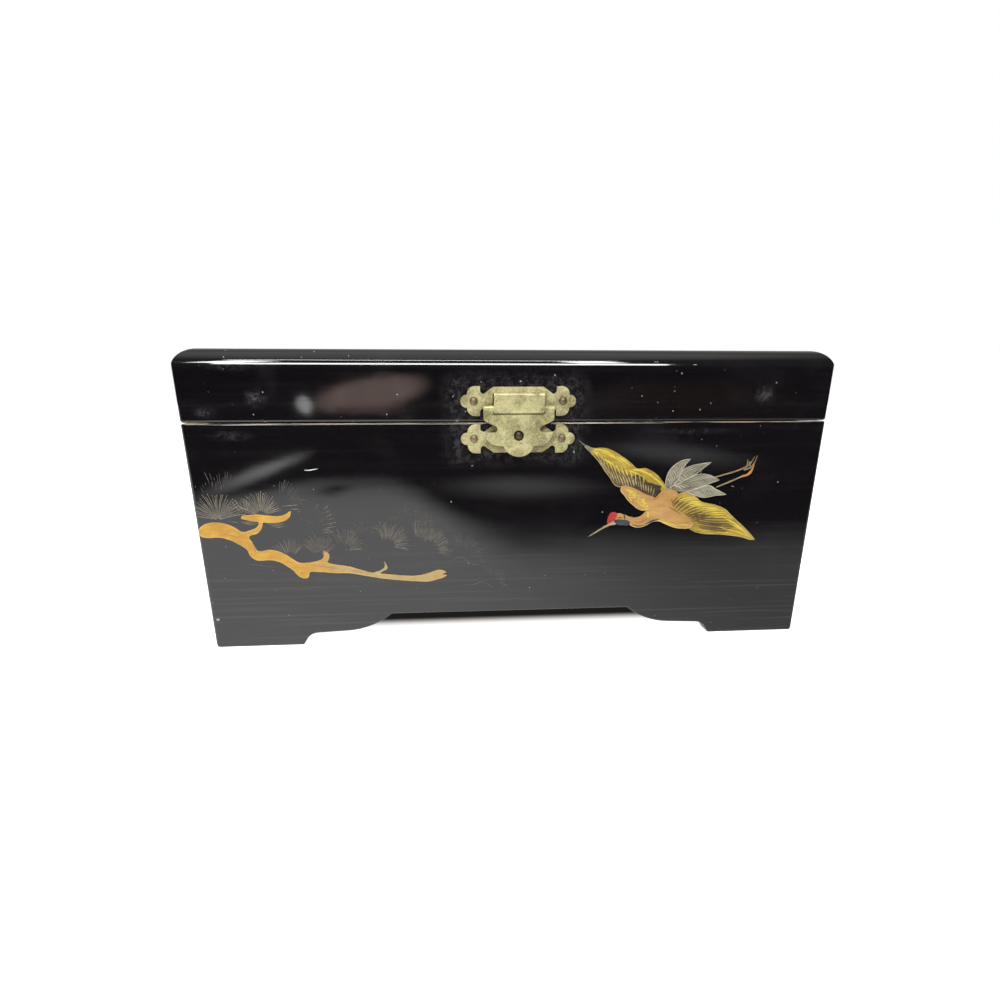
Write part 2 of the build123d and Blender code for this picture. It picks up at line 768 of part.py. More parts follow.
pieces = {
    "case_front_board": case_front_board,
    "case_back_board": case_back_board,
    "case_left_board": case_left_board,
    "case_right_board": case_right_board,
    "case_bottom_panel": case_bottom_panel,
    "corner_glue_blocks": corner_glue_blocks,
    "lining_front": lining_front,
    "lining_back": lining_back,
    "lining_left": lining_left,
    "lining_right": lining_right,
    "partition": partition,
    "floor_card_large": floor_card_large,
    "floor_card_small": floor_card_small,
    "hinge_case_leaves": hinge_case_leaves,
    "hinge_case_screws": hinge_case_screws,
    "hinge_pins": hinge_pins,
    "hasp_lower_plate": hasp_lower_plate,
    "hasp_lower_nails": hasp_lower_nails,
    "hasp_stud": hasp_stud,
    "lid_top_board": lid_top_board,
    "lid_front_rim": lid_front_rim,
    "lid_back_rim": lid_back_rim,
    "lid_left_rim": lid_left_rim,
    "lid_right_rim": lid_right_rim,
    "lid_lining": lid_lining,
    "mirror_glass": mirror_glass,
    "mirror_beading_long": mirror_beading_long,
    "mirror_beading_short": mirror_beading_short,
    "hinge_lid_leaves": hinge_lid_leaves,
    "hinge_lid_screws": hinge_lid_screws,
    "hasp_upper_plate": hasp_upper_plate,
    "hasp_upper_nails": hasp_upper_nails,
    "hasp_leaf": hasp_leaf,
}

os.makedirs("parts", exist_ok=True)
for name, piece in pieces.items():
    piece.part.label = name
    export_step(piece.part, f"parts/{name}.step")

print(f"front face y {front_y:.3f}, back face y {back_y:.3f}, hinge axis y {hinge_y:.3f} z {seam_z:.3f}")
print(f"leaf axis y {front_y - bar_p:.3f} z {bar_z:.3f}, height {box_height:.2f}")
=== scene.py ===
# %% [markdown]
# # A lacquered box with a painted crane and a brass hasp
#
# The construction comes from the imported CAD model, in metres: boards, hinges, hasp, linings and mirror.
# This script gives every surface its finish, rounds the stamped brass, and paints the ornament on the front
# as thin raised paint. The CAD model's own box is measured first.

# %% Load the frame
import math
import random

import bmesh
import bpy
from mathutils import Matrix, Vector


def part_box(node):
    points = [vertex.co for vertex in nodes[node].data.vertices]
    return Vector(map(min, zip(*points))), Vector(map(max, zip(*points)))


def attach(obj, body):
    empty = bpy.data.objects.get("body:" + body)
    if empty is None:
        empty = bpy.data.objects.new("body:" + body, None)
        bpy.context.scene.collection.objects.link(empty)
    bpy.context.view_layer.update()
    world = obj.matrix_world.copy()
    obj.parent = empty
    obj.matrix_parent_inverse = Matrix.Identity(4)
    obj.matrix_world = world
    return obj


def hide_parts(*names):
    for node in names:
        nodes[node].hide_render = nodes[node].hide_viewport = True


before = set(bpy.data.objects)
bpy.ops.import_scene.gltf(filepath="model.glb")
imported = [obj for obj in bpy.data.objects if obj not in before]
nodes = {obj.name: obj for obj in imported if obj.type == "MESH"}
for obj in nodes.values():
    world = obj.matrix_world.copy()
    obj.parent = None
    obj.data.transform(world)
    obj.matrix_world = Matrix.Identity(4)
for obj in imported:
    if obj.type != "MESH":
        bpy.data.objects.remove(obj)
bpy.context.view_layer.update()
MM = 0.001

front_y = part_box("case_front_board")[0].y
back_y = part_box("case_back_board")[1].y
middle_y = (front_y + back_y) / 2
half_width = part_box("case_front_board")[1].x
half_depth = (back_y - front_y) / 2
case_rim_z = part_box("case_front_board")[1].z
lid_rim_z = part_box("lid_front_rim")[0].z
lid_top_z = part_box("lid_top_board")[1].z
print("boards", len(nodes), "front face at y", round(front_y / MM, 2), "mm")
print("lid top at z", round(lid_top_z / MM, 2), "mm")

# %% [markdown]
# ## Camera
#
# A photograph's camera can be found again from the edges of a box: the edges that run away from us meet in
# one point, and the sizes of the front give the distance. The camera stands close, a little left of the
# middle, and looks down at the box. The small vertical shift frames the box without tilting further.

# %% Camera
CAMERA_OFFSET = Vector((-28.17, -269.16, 115.96)) * MM  # from the foot of the front face's middle
CAMERA_YAW = 4.53  # degrees towards +X
CAMERA_PITCH = -18.9  # degrees, downwards
CAMERA_LENS = 21.8
CAMERA_SHIFT = 0.0929

camera_data = bpy.data.cameras.new("camera")
camera_data.lens = CAMERA_LENS
camera_data.sensor_width = 36.0
camera_data.shift_y = CAMERA_SHIFT
camera_data.clip_start = 0.01
camera = bpy.data.objects.new("camera", camera_data)
bpy.context.scene.collection.objects.link(camera)
camera.location = Vector((0, front_y, 0)) + CAMERA_OFFSET
camera.rotation_euler = (math.radians(90 + CAMERA_PITCH), 0, math.radians(-CAMERA_YAW))
bpy.context.scene.camera = camera
bpy.context.scene.view_settings.view_transform = "Standard"
print("camera at", [round(c / MM, 1) for c in camera.location], "mm")

# %% [markdown]
# ## Nodes that read like formulas
#
# Every finish here is a network of shader nodes. One helper makes a node, sets its values and links its
# inputs. What comes out is wrapped as a value that can be added and multiplied, and each such step makes a
# Math node, so that a network reads like a formula. Colours are given as they look on a screen and are
# turned into the linear values that shaders use.


# %% Helpers for node networks
def linear(red, green, blue):
    """Screen colour, 0 to 255 each, as a linear colour for a shader."""
    channels = []
    for value in (red, green, blue):
        share = value / 255
        channels.append(share / 12.92 if share <= 0.04045 else ((share + 0.055) / 1.055) ** 2.4)
    return (*channels, 1.0)


def grey(level):
    """A linear grey."""
    return (level, level, level, 1.0)


def darker(colour, share):
    """A linear colour at a share of its brightness."""
    return (*(channel * share for channel in colour[:3]), 1.0)


class Value:
    """An output of a node. Arithmetic makes Math nodes; a name or number gives its node's other outputs."""

    def __init__(self, socket):
        self.socket = socket
        self.tree = socket.id_data

    def __getitem__(self, key):
        return Value(self.socket.node.outputs[key])

    def __add__(self, other):
        return calc("ADD", self, other)

    def __sub__(self, other):
        return calc("SUBTRACT", self, other)

    def __rsub__(self, other):
        return calc("SUBTRACT", other, self)

    def __mul__(self, other):
        return calc("MULTIPLY", self, other)

    def __truediv__(self, other):
        return calc("DIVIDE", self, other)

    def __abs__(self):
        return calc("ABSOLUTE", self)


def plug(socket, value):
    """Links a node's output to an input, or puts a plain value on it."""
    if isinstance(value, Value):
        value.tree.links.new(value.socket, socket)
    else:
        socket.default_value = value


def node(tree, kind, inputs=None, **settings):
    """The first output of a new node. Its inputs go by name or number."""
    made = tree.nodes.new(kind)
    for key, value in settings.items():
        setattr(made, key, value)
    for key, value in (inputs or {}).items():
        plug(made.inputs[key], value)
    return Value(made.outputs[0])


def calc(operation, *values, clamp=False):
    """A Math node. With clamp, the result stays between 0 and 1."""
    tree = next(value.tree for value in values if isinstance(value, Value))
    return node(tree, "ShaderNodeMath", dict(enumerate(values)), operation=operation, use_clamp=clamp)


def split(vector):
    """The three coordinates of a vector."""
    parts = node(vector.tree, "ShaderNodeSeparateXYZ", {0: vector})
    return parts["X"], parts["Y"], parts["Z"]


def blend(factor, first, second):
    """A colour between two, each a linear colour or a node's output."""
    return node(factor.tree, "ShaderNodeMix", {"Factor": factor, 6: first, 7: second}, data_type="RGBA")[2]


def band(value, low, high, out_low=0.0, out_high=1.0):
    """Smooth step of a value between two limits."""
    inputs = {"Value": value, "From Min": low, "From Max": high, "To Min": out_low, "To Max": out_high}
    return node(value.tree, "ShaderNodeMapRange", inputs, interpolation_type="SMOOTHSTEP")


def fade(value, start, end, rest=0.0):
    """One up to the start, and smoothly down to the rest at the end."""
    return band(value, start, end, 1.0, rest)


def noise(vector, scale, detail=2.0, roughness=0.5, distortion=0.0):
    """Noise value around 0.5. The scale is in waves a metre."""
    inputs = {"Vector": vector, "Scale": scale, "Detail": detail, "Roughness": roughness,
              "Distortion": distortion}
    return node(vector.tree, "ShaderNodeTexNoise", inputs)


def stretched(vector, scale, turn=(0.0, 0.0, 0.0)):
    """A vector turned, in degrees, and stretched by a Mapping node."""
    inputs = {"Vector": vector, "Scale": scale, "Rotation": tuple(math.radians(a) for a in turn)}
    return node(vector.tree, "ShaderNodeMapping", inputs)


def relief(height, distance, strength=1.0):
    """A Bump node over a height, for a shader's Normal."""
    inputs = {"Strength": strength, "Distance": distance, "Height": height}
    return node(height.tree, "ShaderNodeBump", inputs)


def dress(material, **sockets):
    """Plugs values into a material's shader. An underscore stands for the space in a socket's name."""
    shader = material.node_tree.nodes["Principled BSDF"]
    for key, value in sockets.items():
        plug(shader.inputs[key.replace("_", " ")], value)


def new_material(name, **sockets):
    """A material with plain values on its shader's sockets, and its Object coordinates."""
    material = bpy.data.materials.new(name)
    material.use_nodes = True
    dress(material, **sockets)
    return material, node(material.node_tree, "ShaderNodeTexCoord")["Object"]


def new_object(name, data):
    """An object in the scene."""
    made = bpy.data.objects.new(name, data)
    bpy.context.scene.collection.objects.link(made)
    return made


def built(bm, name, material):
    """An object with one material from a bmesh, which is freed."""
    mesh = bpy.data.meshes.new(name)
    bm.to_mesh(mesh)
    bm.free()
    mesh.materials.append(material)
    return new_object(name, mesh)


def new_group(name, inputs, outputs):
    """An empty shader node group, what it takes and what it gives. Only Place is a vector."""
    group = bpy.data.node_groups.new(name, "ShaderNodeTree")
    for direction, labels in (("INPUT", inputs), ("OUTPUT", outputs)):
        for label in labels:
            kind = "NodeSocketVector" if label == "Place" else "NodeSocketFloat"
            group.interface.new_socket(label, in_out=direction, socket_type=kind)
    return group, node(group, "NodeGroupInput"), group.nodes.new("NodeGroupOutput").inputs


def placed(group, *values):
    """The first output of a group placed in a material. Values go in the order of its inputs."""
    return node(values[0].tree, "ShaderNodeGroup", dict(enumerate(values)), node_tree=group)


# %% [markdown]
# ## A soft patch
#
# Smudges, dull spots and the light patches on the floor all have the same form: an oval with soft edges. One
# node group makes it from a place, a middle and two half sizes. It is used in the finishes and on the stage.

# %% Soft patch group
patch_group, taken, given = new_group(
    "soft_patch",
    ("Across", "Up", "Middle Across", "Middle Up", "Half Across", "Half Up", "Softness"),
    ("Mask",),
)
shares = [(taken[axis] - taken["Middle " + axis]) / taken["Half " + axis] for axis in ("Across", "Up")]
from_middle = calc("SQRT", shares[0] * shares[0] + shares[1] * shares[1])
plug(given["Mask"], fade(from_middle, 1.0 - taken["Softness"], 1.0))


def patch(across, up, middle, half, softness=1.0):
    """Mask of one soft oval. Middle and half sizes are pairs in metres."""
    return placed(patch_group, across, up, *middle, *half, softness)


def spots(x, z, marks, softness=1.0):
    """Ovals on the front, with their strengths. Marks are (x, z, half x, half z, strength), in mm."""
    for *sizes, strength in marks:
        middle_x, middle_z, half_x, half_z = (size * MM for size in sizes)
        yield patch(x, z, (middle_x, middle_z), (half_x, half_z), softness), strength


# %% [markdown]
# ## Floor and light
#
# Black lacquer has almost no colour of its own: what we see on it are reflections. The floor is plain and
# pale and glows a little, like a light table. Matt and glossy surfaces get less of this glow than the camera
# does, and behind the front's cut-out the floor lies in shade. Long soft lights stand in front and above and
# draw the bright lines along the lid's rounded edge. What the front mirrors of the floor is laid out on a
# sheet that only reflections see: bright near the box, brighter on the left, then dark with a few dim
# patches. Small upright cards with a soft oval glow give the lid its blurred reflections.

# %% Floor
FLOOR_HALF = 4.0
FLOOR_GLOW = 1.1
GLOW_ON_MATT = 0.26  # shares of the floor's glow
GLOW_ON_GLOSS = 0.40
SHADE_STARTS = (0.018, 0.032)  # metres behind the front, from the first trace to the full shade
SHADE_ENDS = (0.12, 0.16)
SHADE_SIDE = 0.03  # soft stretch at the shade's left and right
BLACK, WHITE = grey(0.0), grey(1.0)
ONLY_GLOWS = {"Roughness": 1.0, "Specular_IOR_Level": 0.0, "Base_Color": BLACK}


def stage_sheet(name, corners, material, only_in_gloss=False):
    """A flat four-cornered stage piece made from a bmesh grid. It can be hidden from all but reflections."""
    bm = bmesh.new()
    grid = bmesh.ops.create_grid(bm, x_segments=1, y_segments=1, size=0.5)
    for vert, corner in zip(sorted(grid["verts"], key=lambda v: (v.co.y, v.co.x)), corners):
        vert.co = corner
    made = built(bm, name, material)
    if only_in_gloss:
        made.visible_camera = made.visible_diffuse = made.visible_shadow = False


def level_corners(low_y, high_y, z):
    """Corners of a level strip as wide as the stage, in the order of a grid's own."""
    return [(x, y, z) for y in (low_y, high_y) for x in (-FLOOR_HALF, FLOOR_HALF)]


floor_material, place = new_material(
    "pale_floor", Roughness=0.9, Specular_IOR_Level=0.0, Emission_Strength=FLOOR_GLOW
)
x, y, _ = split(place)
shade = band(y, *(front_y + distance for distance in SHADE_STARTS))
shade *= fade(abs(x), half_width - SHADE_SIDE, half_width)
shade *= fade(y, *(front_y + distance for distance in SHADE_ENDS))
rays = node(place.tree, "ShaderNodeLightPath")
lit = blend(rays["Is Diffuse Ray"], WHITE, grey(GLOW_ON_MATT))
lit = blend(rays["Is Glossy Ray"], lit, grey(GLOW_ON_GLOSS))
paper = blend(noise(place, 6.0, detail=3.0), (0.84, 0.84, 0.85, 1), grey(0.88))
dress(floor_material, Base_Color=blend(shade, paper, grey(0.02)),
      Emission_Color=blend(shade, lit, grey(0.01)))
stage_sheet("floor", level_corners(-FLOOR_HALF, FLOOR_HALF, 0.0), floor_material)

# %% What the front mirrors
SHEET_Z = 0.0005
SHEET_GAP = 0.3  # keeps the sheet's far end short of the floor's
WANDER = 0.12  # how far the near glow's edge wanders
FAINTEST = 0.05

sheet_material, place = new_material("mirrored_floor", Emission_Strength=1.0, **ONLY_GLOWS)
x, y, _ = split(place)
ahead = front_y - y
to_right = band(x, -0.12, 0.03)
near_edge = band(x, -0.31, -0.20, 0.38, 0.56) * (1.0 - to_right) + to_right * 0.23
wavy_ahead = ahead + (noise(place, 7.0, detail=3.0, roughness=0.6) - 0.5) * WANDER
glow = fade(wavy_ahead - near_edge, -0.15, 0.05)
glow *= band(x, -0.06, 0.16, 1.95, 0.82)  # brighter on the left
glow *= fade(ahead, 0.30, 0.56, 0.62)  # dimmer far away
glow = calc("MAXIMUM", glow, FAINTEST)
for middle, half, strength in (
    ((0.055, 0.47), (0.13, 0.13), 0.85),  # right of the middle
    ((0.37, 0.84), (0.15, 0.30), 0.80),  # far right
    ((-0.298, 0.66), (0.036, 0.34), 2.9),  # narrow streak on the left
    ((-0.165, 0.45), (0.03, 0.06), -1.2),  # dark gap in the near glow
):
    glow += patch(x, ahead, middle, half) * strength
glow_colour = node(place.tree, "ShaderNodeCombineColor", {0: glow, 1: glow, 2: glow})
dress(sheet_material, Emission_Color=glow_colour)
sheet_corners = level_corners(front_y - FLOOR_HALF + SHEET_GAP, front_y, SHEET_Z)
stage_sheet("mirrored_floor", sheet_corners, sheet_material, only_in_gloss=True)

# %% Cards that the lid mirrors
CARD_SOFTNESS = 0.4
LONGEST_RAY = (1.14, 1.18)  # as shares of a card's distance; rays that come over the open lid are longer


def upright_card(name, low, high, distance, colour, strength, slope=0.0):
    """A card with an oval glow. The front shows it between two points, (x, z) on its face in metres."""
    eye = camera.location
    spread = 1 + distance / (front_y - eye.y)
    corners = [
        (eye.x + (x - eye.x) * spread, front_y - distance, eye.z + (z - eye.z) * spread)
        for z in (low[1], high[1])
        for x in (low[0], high[0])
    ]
    (low_x, _, low_z), (high_x, _, high_z) = corners[0], corners[-1]
    middle = ((low_x + high_x) / 2, (low_z + high_z) / 2)
    half = ((high_x - low_x) / 2, (high_z - low_z) / 2)
    material, place = new_material(name, Emission_Strength=strength, **ONLY_GLOWS)
    mottled = blend(noise(place, 30.0), darker(linear(*colour), 0.6), linear(*colour))
    across, _, up = split(place)
    oval = patch(across, up - (across - middle[0]) * slope, middle, half, CARD_SOFTNESS)
    ray_length = node(place.tree, "ShaderNodeLightPath")["Ray Length"]
    near_enough = fade(ray_length, *(distance * share for share in LONGEST_RAY))
    dress(material, Emission_Color=mottled, Alpha=oval * near_enough)
    stage_sheet(name, corners, material, only_in_gloss=True)


upright_card("warm_card", (-0.089, 0.1045), (-0.033, 0.1205), 0.80, (190, 165, 157), 4.8, slope=0.16)
upright_card("warm_card_low", (-0.076, 0.1040), (-0.050, 0.1075), 0.80, (170, 140, 132), 2.6)
upright_card("pale_card", (-0.0920, 0.1035), (-0.0845, 0.1125), 0.78, (255, 255, 255), 6.0)
upright_card("dim_card", (0.020, 0.104), (0.130, 0.1185), 0.85, (150, 125, 105), 0.5)

# %% Lights and surroundings
LID_EDGE = Vector((0, front_y, 0.125))
STRIP_DISTANCE = 1.5


def soft_light(name, place, aim, size_x, size_y, power, for_gloss):
    """A rectangular soft light that faces a point, either only for reflections or only for the rest."""
    data = bpy.data.lights.new(name, "AREA")
    data.shape = "RECTANGLE"
    data.size, data.size_y, data.energy = size_x, size_y, power
    light = new_object(name, data)
    light.location = place
    light.rotation_euler = (Vector(aim) - Vector(place)).to_track_quat("-Z", "Y").to_euler()
    light.visible_glossy = for_gloss
    light.visible_diffuse = not for_gloss


for name, elevation, across, size_x, size_y, power in (  # the elevation is in degrees
    ("main_strip", 40, -0.03, 1.24, 0.17, 16.0),
    ("thin_strip", 58, -0.08, 1.06, 0.05, 3.6),
    ("left_end", 49, -0.60, 0.12, 0.30, 3.2),
    ("right_end", 50, 0.37, 0.13, 0.24, 2.6),
):
    turn = math.radians(elevation)
    away = Vector((across, -STRIP_DISTANCE * math.cos(turn), STRIP_DISTANCE * math.sin(turn)))
    soft_light(name, LID_EDGE + away, LID_EDGE, size_x, size_y, power, for_gloss=True)
soft_light("top_fill", (-0.25, -0.75, 1.6), (0, 0, 0), 0.7, 0.7, 36.0, for_gloss=False)

world = bpy.data.worlds.new("studio")
bpy.context.scene.world = world
world.use_nodes = True
_, backward, upward = split(node(world.node_tree, "ShaderNodeTexCoord")["Generated"])
rays = node(world.node_tree, "ShaderNodeLightPath")
room = blend(band(upward, 0.1, 0.9), (0.03, 0.03, 0.033, 1), (0.16, 0.16, 0.17, 1))
room = blend(band(backward, -0.1, 0.9), room, (0.55, 0.54, 0.52, 1))
room = blend(rays["Is Glossy Ray"] * band(upward, 0.80, 0.97), room, grey(0.95))
plug(world.node_tree.nodes["Background"].inputs["Color"], blend(rays["Is Camera Ray"], room, WHITE))

# %% [markdown]
# ## Wear that several finishes share
#
# A box that has been used is dusty, and its edges are rubbed. Both effects are built once as node groups.
# The dust group puts out white specks, soft smudges and a fine grain. The edge group gets the distances to
# three faces of the box: near an edge two of them are small, so the middle one of the three is small too.

# %% Dust group
SMALL_CELLS = 420.0  # one cell each 2.4 mm
LARGE_CELLS = 150.0
LARGEST_SPECK = 0.16  # as a share of a cell

dust_group, taken, given = new_group(
    "dust_and_smudges", ("Place", "Speck Amount"), ("Specks", "Smudges", "Fine")
)
speck_masks = []
crumble = noise(taken["Place"], 1300.0)
for cells_per_metre, chance_share, size in ((SMALL_CELLS, 1.0, 1.15), (LARGE_CELLS, 0.55, 0.7)):
    cells = node(dust_group, "ShaderNodeTexVoronoi", {"Vector": taken["Place"], "Scale": cells_per_metre})
    cell_value = node(dust_group, "ShaderNodeSeparateColor", {0: cells["Color"]})
    kept = cell_value - 1.0 + taken["Speck Amount"] * chance_share
    kept = calc("MINIMUM", calc("MAXIMUM", kept, 0.0), LARGEST_SPECK)
    distance = cells["Distance"] + (crumble - 0.5) * 0.3
    speck_masks.append(band(kept * size - distance, 0.0, 0.05))
cloud = noise(taken["Place"], 24.0, detail=5.0, roughness=0.62, distortion=0.6)
plug(given["Specks"], calc("MAXIMUM", *speck_masks))
plug(given["Smudges"], band(cloud, 0.52, 0.78))
plug(given["Fine"], noise(taken["Place"], 900.0, detail=3.0, roughness=0.7))

# %% Edge wear group
WEAR_FADE = 0.00015

edge_group, taken, given = new_group("edge_wear", ("Place", "Side A", "Side B", "Side C", "Width"), ("Worn",))
low_pair = calc("MINIMUM", taken["Side A"], taken["Side B"])
high_pair = calc("MAXIMUM", taken["Side A"], taken["Side B"])
middle_one = calc("MAXIMUM", low_pair, calc("MINIMUM", high_pair, taken["Side C"]))
rubbing = noise(taken["Place"], 110.0, detail=4.0, roughness=0.65)
plug(given["Worn"], band(band(rubbing, 0.54, 0.74) * taken["Width"] - middle_one, 0.0, WEAR_FADE))
print("shared groups", [g.name for g in bpy.data.node_groups])

# %% [markdown]
# ## Black lacquer
#
# Lacquer is many rubbed coats over wood. It mirrors softly, its surface is a little wavy, and fine brush
# lines run along the boards. Where the coats are rubbed through at the rims, cream undercoat shows: on the
# case along the seam, on the lid at its corners. Dust gathers round the brass, where a cloth doesn't reach,
# and a few hazy spots on the front are painted lighter grey, partly haze and partly painted reflection. One
# function makes both finishes: only their rims and spots differ.

# %% Lacquer
WEAR_WIDTH = 0.0007
PLATE_HALF_X, PLATE_HALF_Z = 0.024, 0.0055  # of the hasp's plates, with their ends
HALO = (0.011, 0.009)  # how far dust lies round a plate


def lacquer(name, rim_z, far_z, seam_line, speck_amount, plate_z, haze_and_reflection_spots, chips):
    """Black lacquer for boards between two heights. Hazy spots, with painted reflection, and chips are marks
    as in spots().
    """
    material, place = new_material(name, Roughness=0.14, IOR=1.55)
    x, y, z = split(place)
    side_x = half_width - abs(x)
    side_y = half_depth - abs(y - middle_y)
    to_rim = abs(z - rim_z)
    side_z = calc("MINIMUM", to_rim, abs(z - far_z))
    past_plate_x = calc("MAXIMUM", abs(x) - PLATE_HALF_X, 0.0)
    past_plate_z = calc("MAXIMUM", abs(z - plate_z) - PLATE_HALF_Z, 0.0)
    halo = patch(past_plate_x, past_plate_z, (0.0, 0.0), HALO)
    dust = placed(dust_group, place, halo * 0.22 + speck_amount)
    worn = placed(edge_group, place, side_x, side_y, side_z, WEAR_WIDTH)

    # the rim's own line, thin and uneven
    outer = fade(calc("MINIMUM", side_x, side_y), 0.0003, 0.0008)
    line_noise = noise(stretched(place, (1, 1, 0.2)), 45.0, detail=4.0)
    line_height = band(line_noise, 0.25, 0.65, 0.35, 1.0) * seam_line
    line = outer * band(line_height - to_rim, 0.0, WEAR_FADE)

    # marks that lie on the front face only
    behind_front = y - front_y
    ragged = band(noise(place, 300.0, detail=5.0, roughness=0.8), 0.42, 0.66, 0.1, 1.0)
    # hazy spots on the front: lighter grey that is partly haze and partly painted reflection, with dust haze
    # round the plates
    haze_and_reflection = halo * 0.26
    for spot, strength in spots(x, z, haze_and_reflection_spots):
        haze_and_reflection = calc("MAXIMUM", haze_and_reflection, spot * strength)
    haze_and_reflection = haze_and_reflection * ragged * fade(behind_front, 0.004, 0.007)
    near_front = fade(behind_front, 0.009, 0.012)
    for chip, strength in spots(x, z, chips, softness=0.4):
        worn = calc("MAXIMUM", worn, band(chip * ragged, 0.3, 0.5) * near_front * strength)
    worn = calc("MAXIMUM", worn, line, clamp=True)

    # fine lines of the brush, seen best near the floor
    brush_lines = noise(stretched(place, (14, 14, 900)), 1.0, detail=3.0)
    streaks = band(brush_lines, 0.5, 0.75) * fade(z, 0.02, 0.06, 0.15)

    coat = blend(dust["Smudges"], linear(10, 8, 10), linear(24, 21, 24))
    coat = blend(streaks * 0.6, coat, linear(52, 49, 52))
    coat = blend(haze_and_reflection, coat, linear(104, 102, 103))
    bare = blend(dust["Fine"], linear(112, 92, 70), linear(212, 196, 164))
    speck_colour = blend(dust["Fine"], linear(60, 60, 63), linear(190, 190, 194))
    colour = blend(dust["Specks"], blend(worn, coat, bare), speck_colour)
    rough = dust["Smudges"] * 0.10 + 0.05 + (dust["Fine"] - 0.5) * 0.04 + haze_and_reflection * 0.4
    rough = calc("MAXIMUM", rough, worn * 0.7, clamp=True)
    rough = calc("MAXIMUM", rough, dust["Specks"] * 0.8, clamp=True)
    height = noise(place, 26.0, detail=1.0) * 0.05 + noise(place, 130.0, detail=1.0) * 0.008
    height = height + brush_lines * 0.0012 + dust["Specks"] * 0.02 - worn * 0.03
    dress(material, Base_Color=colour, Roughness=rough, Normal=relief(height, MM))
    return material


def give(material, *names):
    """Puts one material on CAD nodes."""
    for name in names:
        mesh = nodes[name].data
        mesh.materials.clear()
        mesh.materials.append(material)


case_lacquer = lacquer(
    "case_lacquer", case_rim_z, 0.0, seam_line=0.00052, speck_amount=0.11, plate_z=0.0942,
    haze_and_reflection_spots=((26, 90, 6, 5, 0.5), (-120, 96, 12, 3, 0.2), (80, 97, 30, 2, 0.15)),
    chips=((-137, 14, 1.3, 0.8, 1.0),),
)
lid_lacquer = lacquer(
    "lid_lacquer", lid_rim_z, lid_top_z, seam_line=0.00012, speck_amount=0.15, plate_z=0.1097,
    haze_and_reflection_spots=((-108, 111, 6, 5, 0.5), (110, 112, 6, 5, 0.5), (-129, 105.5, 6, 3, 0.4),
                (-117, 123, 12, 2, 0.25)),
    chips=((-135.5, 129.6, 1.6, 0.8, 1.0), (60, 125.5, 1.6, 0.3, 0.4), (77, 124.4, 1.2, 0.3, 0.5)),
)
give(case_lacquer, "case_front_board", "case_back_board", "case_left_board", "case_right_board")
give(lid_lacquer, "lid_top_board", "lid_front_rim", "lid_back_rim", "lid_left_rim", "lid_right_rim",
     "mirror_beading_long", "mirror_beading_short")
print("lacquered boards share", case_lacquer.name, "and", lid_lacquer.name)

# %% [markdown]
# ## Brass, aged brass and steel
#
# The hasp is stamped from pale sheet brass that has dulled to a satin, with fine light and dark speckle. The
# domed nails and the stud have browned; the stud is painted darker still, as shade in the leaf's hole. Hinge
# leaves and screws share the brass; their pins are drawn steel, with lines along the wire. One function makes
# them all from two tones and a roughness, and on the hasp's plates it paints shadow behind the leaf and
# strap.

# %% Metals
# painted shadow reaches no farther out than this, so it lies on the plates only
SHADE_REACH = 1.1 * MM  # plates are thinner than this, the leaf and the strap stand farther out


def metal(name, dark, light, roughness, metallic=0.9, speckle=0.5, grain=(1, 1, 1), shade_spots=()):
    """Satin metal between two screen colours. Shade spots, as in spots(), are painted shadow near the board.
    """
    material, place = new_material(name, Roughness=roughness, Metallic=metallic)
    x, y, z = split(place)
    clouds = noise(place, 130.0, detail=4.0, roughness=0.6)
    specks = noise(stretched(place, grain), 1500.0, roughness=0.8)
    dark_spots = band(noise(place, 620.0, detail=3.0, roughness=0.75), 0.60, 0.72)
    tone = calc("ADD", band(clouds, 0.22, 0.76), (specks - 0.5) * speckle, clamp=True)
    tarnish_and_shade = darker(linear(*dark), 0.35)
    colour = blend(dark_spots * 0.6, blend(tone, linear(*dark), linear(*light)), tarnish_and_shade)
    # painted shadow: the plates darken where the leaf and the strap stand in front of them
    near_board = fade(front_y - y, SHADE_REACH, SHADE_REACH + 0.3 * MM)
    for shade_spot, strength in spots(x, z, shade_spots, softness=0.5):
        colour = blend(shade_spot * near_board * strength, colour, tarnish_and_shade)
    rough = calc("ADD", (clouds - 0.5) * -0.2 + roughness, dark_spots * 0.15, clamp=True)
    height = clouds + specks * 0.25 - dark_spots * 0.4
    dress(material, Base_Color=colour, Roughness=rough, Normal=relief(height, 0.00005, 0.5))
    return material


brass = metal("pale_brass", (126, 119, 78), (210, 203, 150), 0.50, metallic=0.4, speckle=1.8,
              shade_spots=((1, 93.5, 17, 6, 0.75), (1, 108, 14, 4, 0.5)))
aged_brass = metal("aged_brass", (84, 74, 52), (138, 126, 94), 0.42, metallic=0.6)
# painted shade: the stud is darker than the nails, for the shade in the leaf's hole
shaded_stud_brass = metal("shaded_stud_brass", (42, 36, 26), (104, 92, 66), 0.42, metallic=0.6)
steel = metal("drawn_steel", (140, 141, 145), (196, 197, 200), 0.32, speckle=0.3, grain=(0.05, 1, 1))
give(brass, "hinge_case_leaves", "hinge_lid_leaves", "hinge_case_screws", "hinge_lid_screws",
     "hasp_upper_plate", "hasp_lower_plate", "hasp_leaf")
give(aged_brass, "hasp_upper_nails", "hasp_lower_nails")
give(shaded_stud_brass, "hasp_stud")
give(steel, "hinge_pins")
print("metals", brass.name, aged_brass.name, steel.name)

# %% [markdown]
# ## Velvet, bare wood and the mirror
#
# The linings are red velvet glued on card. Velvet glows at its edges, where we look across the pile, and
# lies darker or lighter where it has been brushed one way or the other. The bottom panel and the glue blocks
# are bare wood, with grain along the panel. The mirror is silvered glass, a little clouded towards its rim.

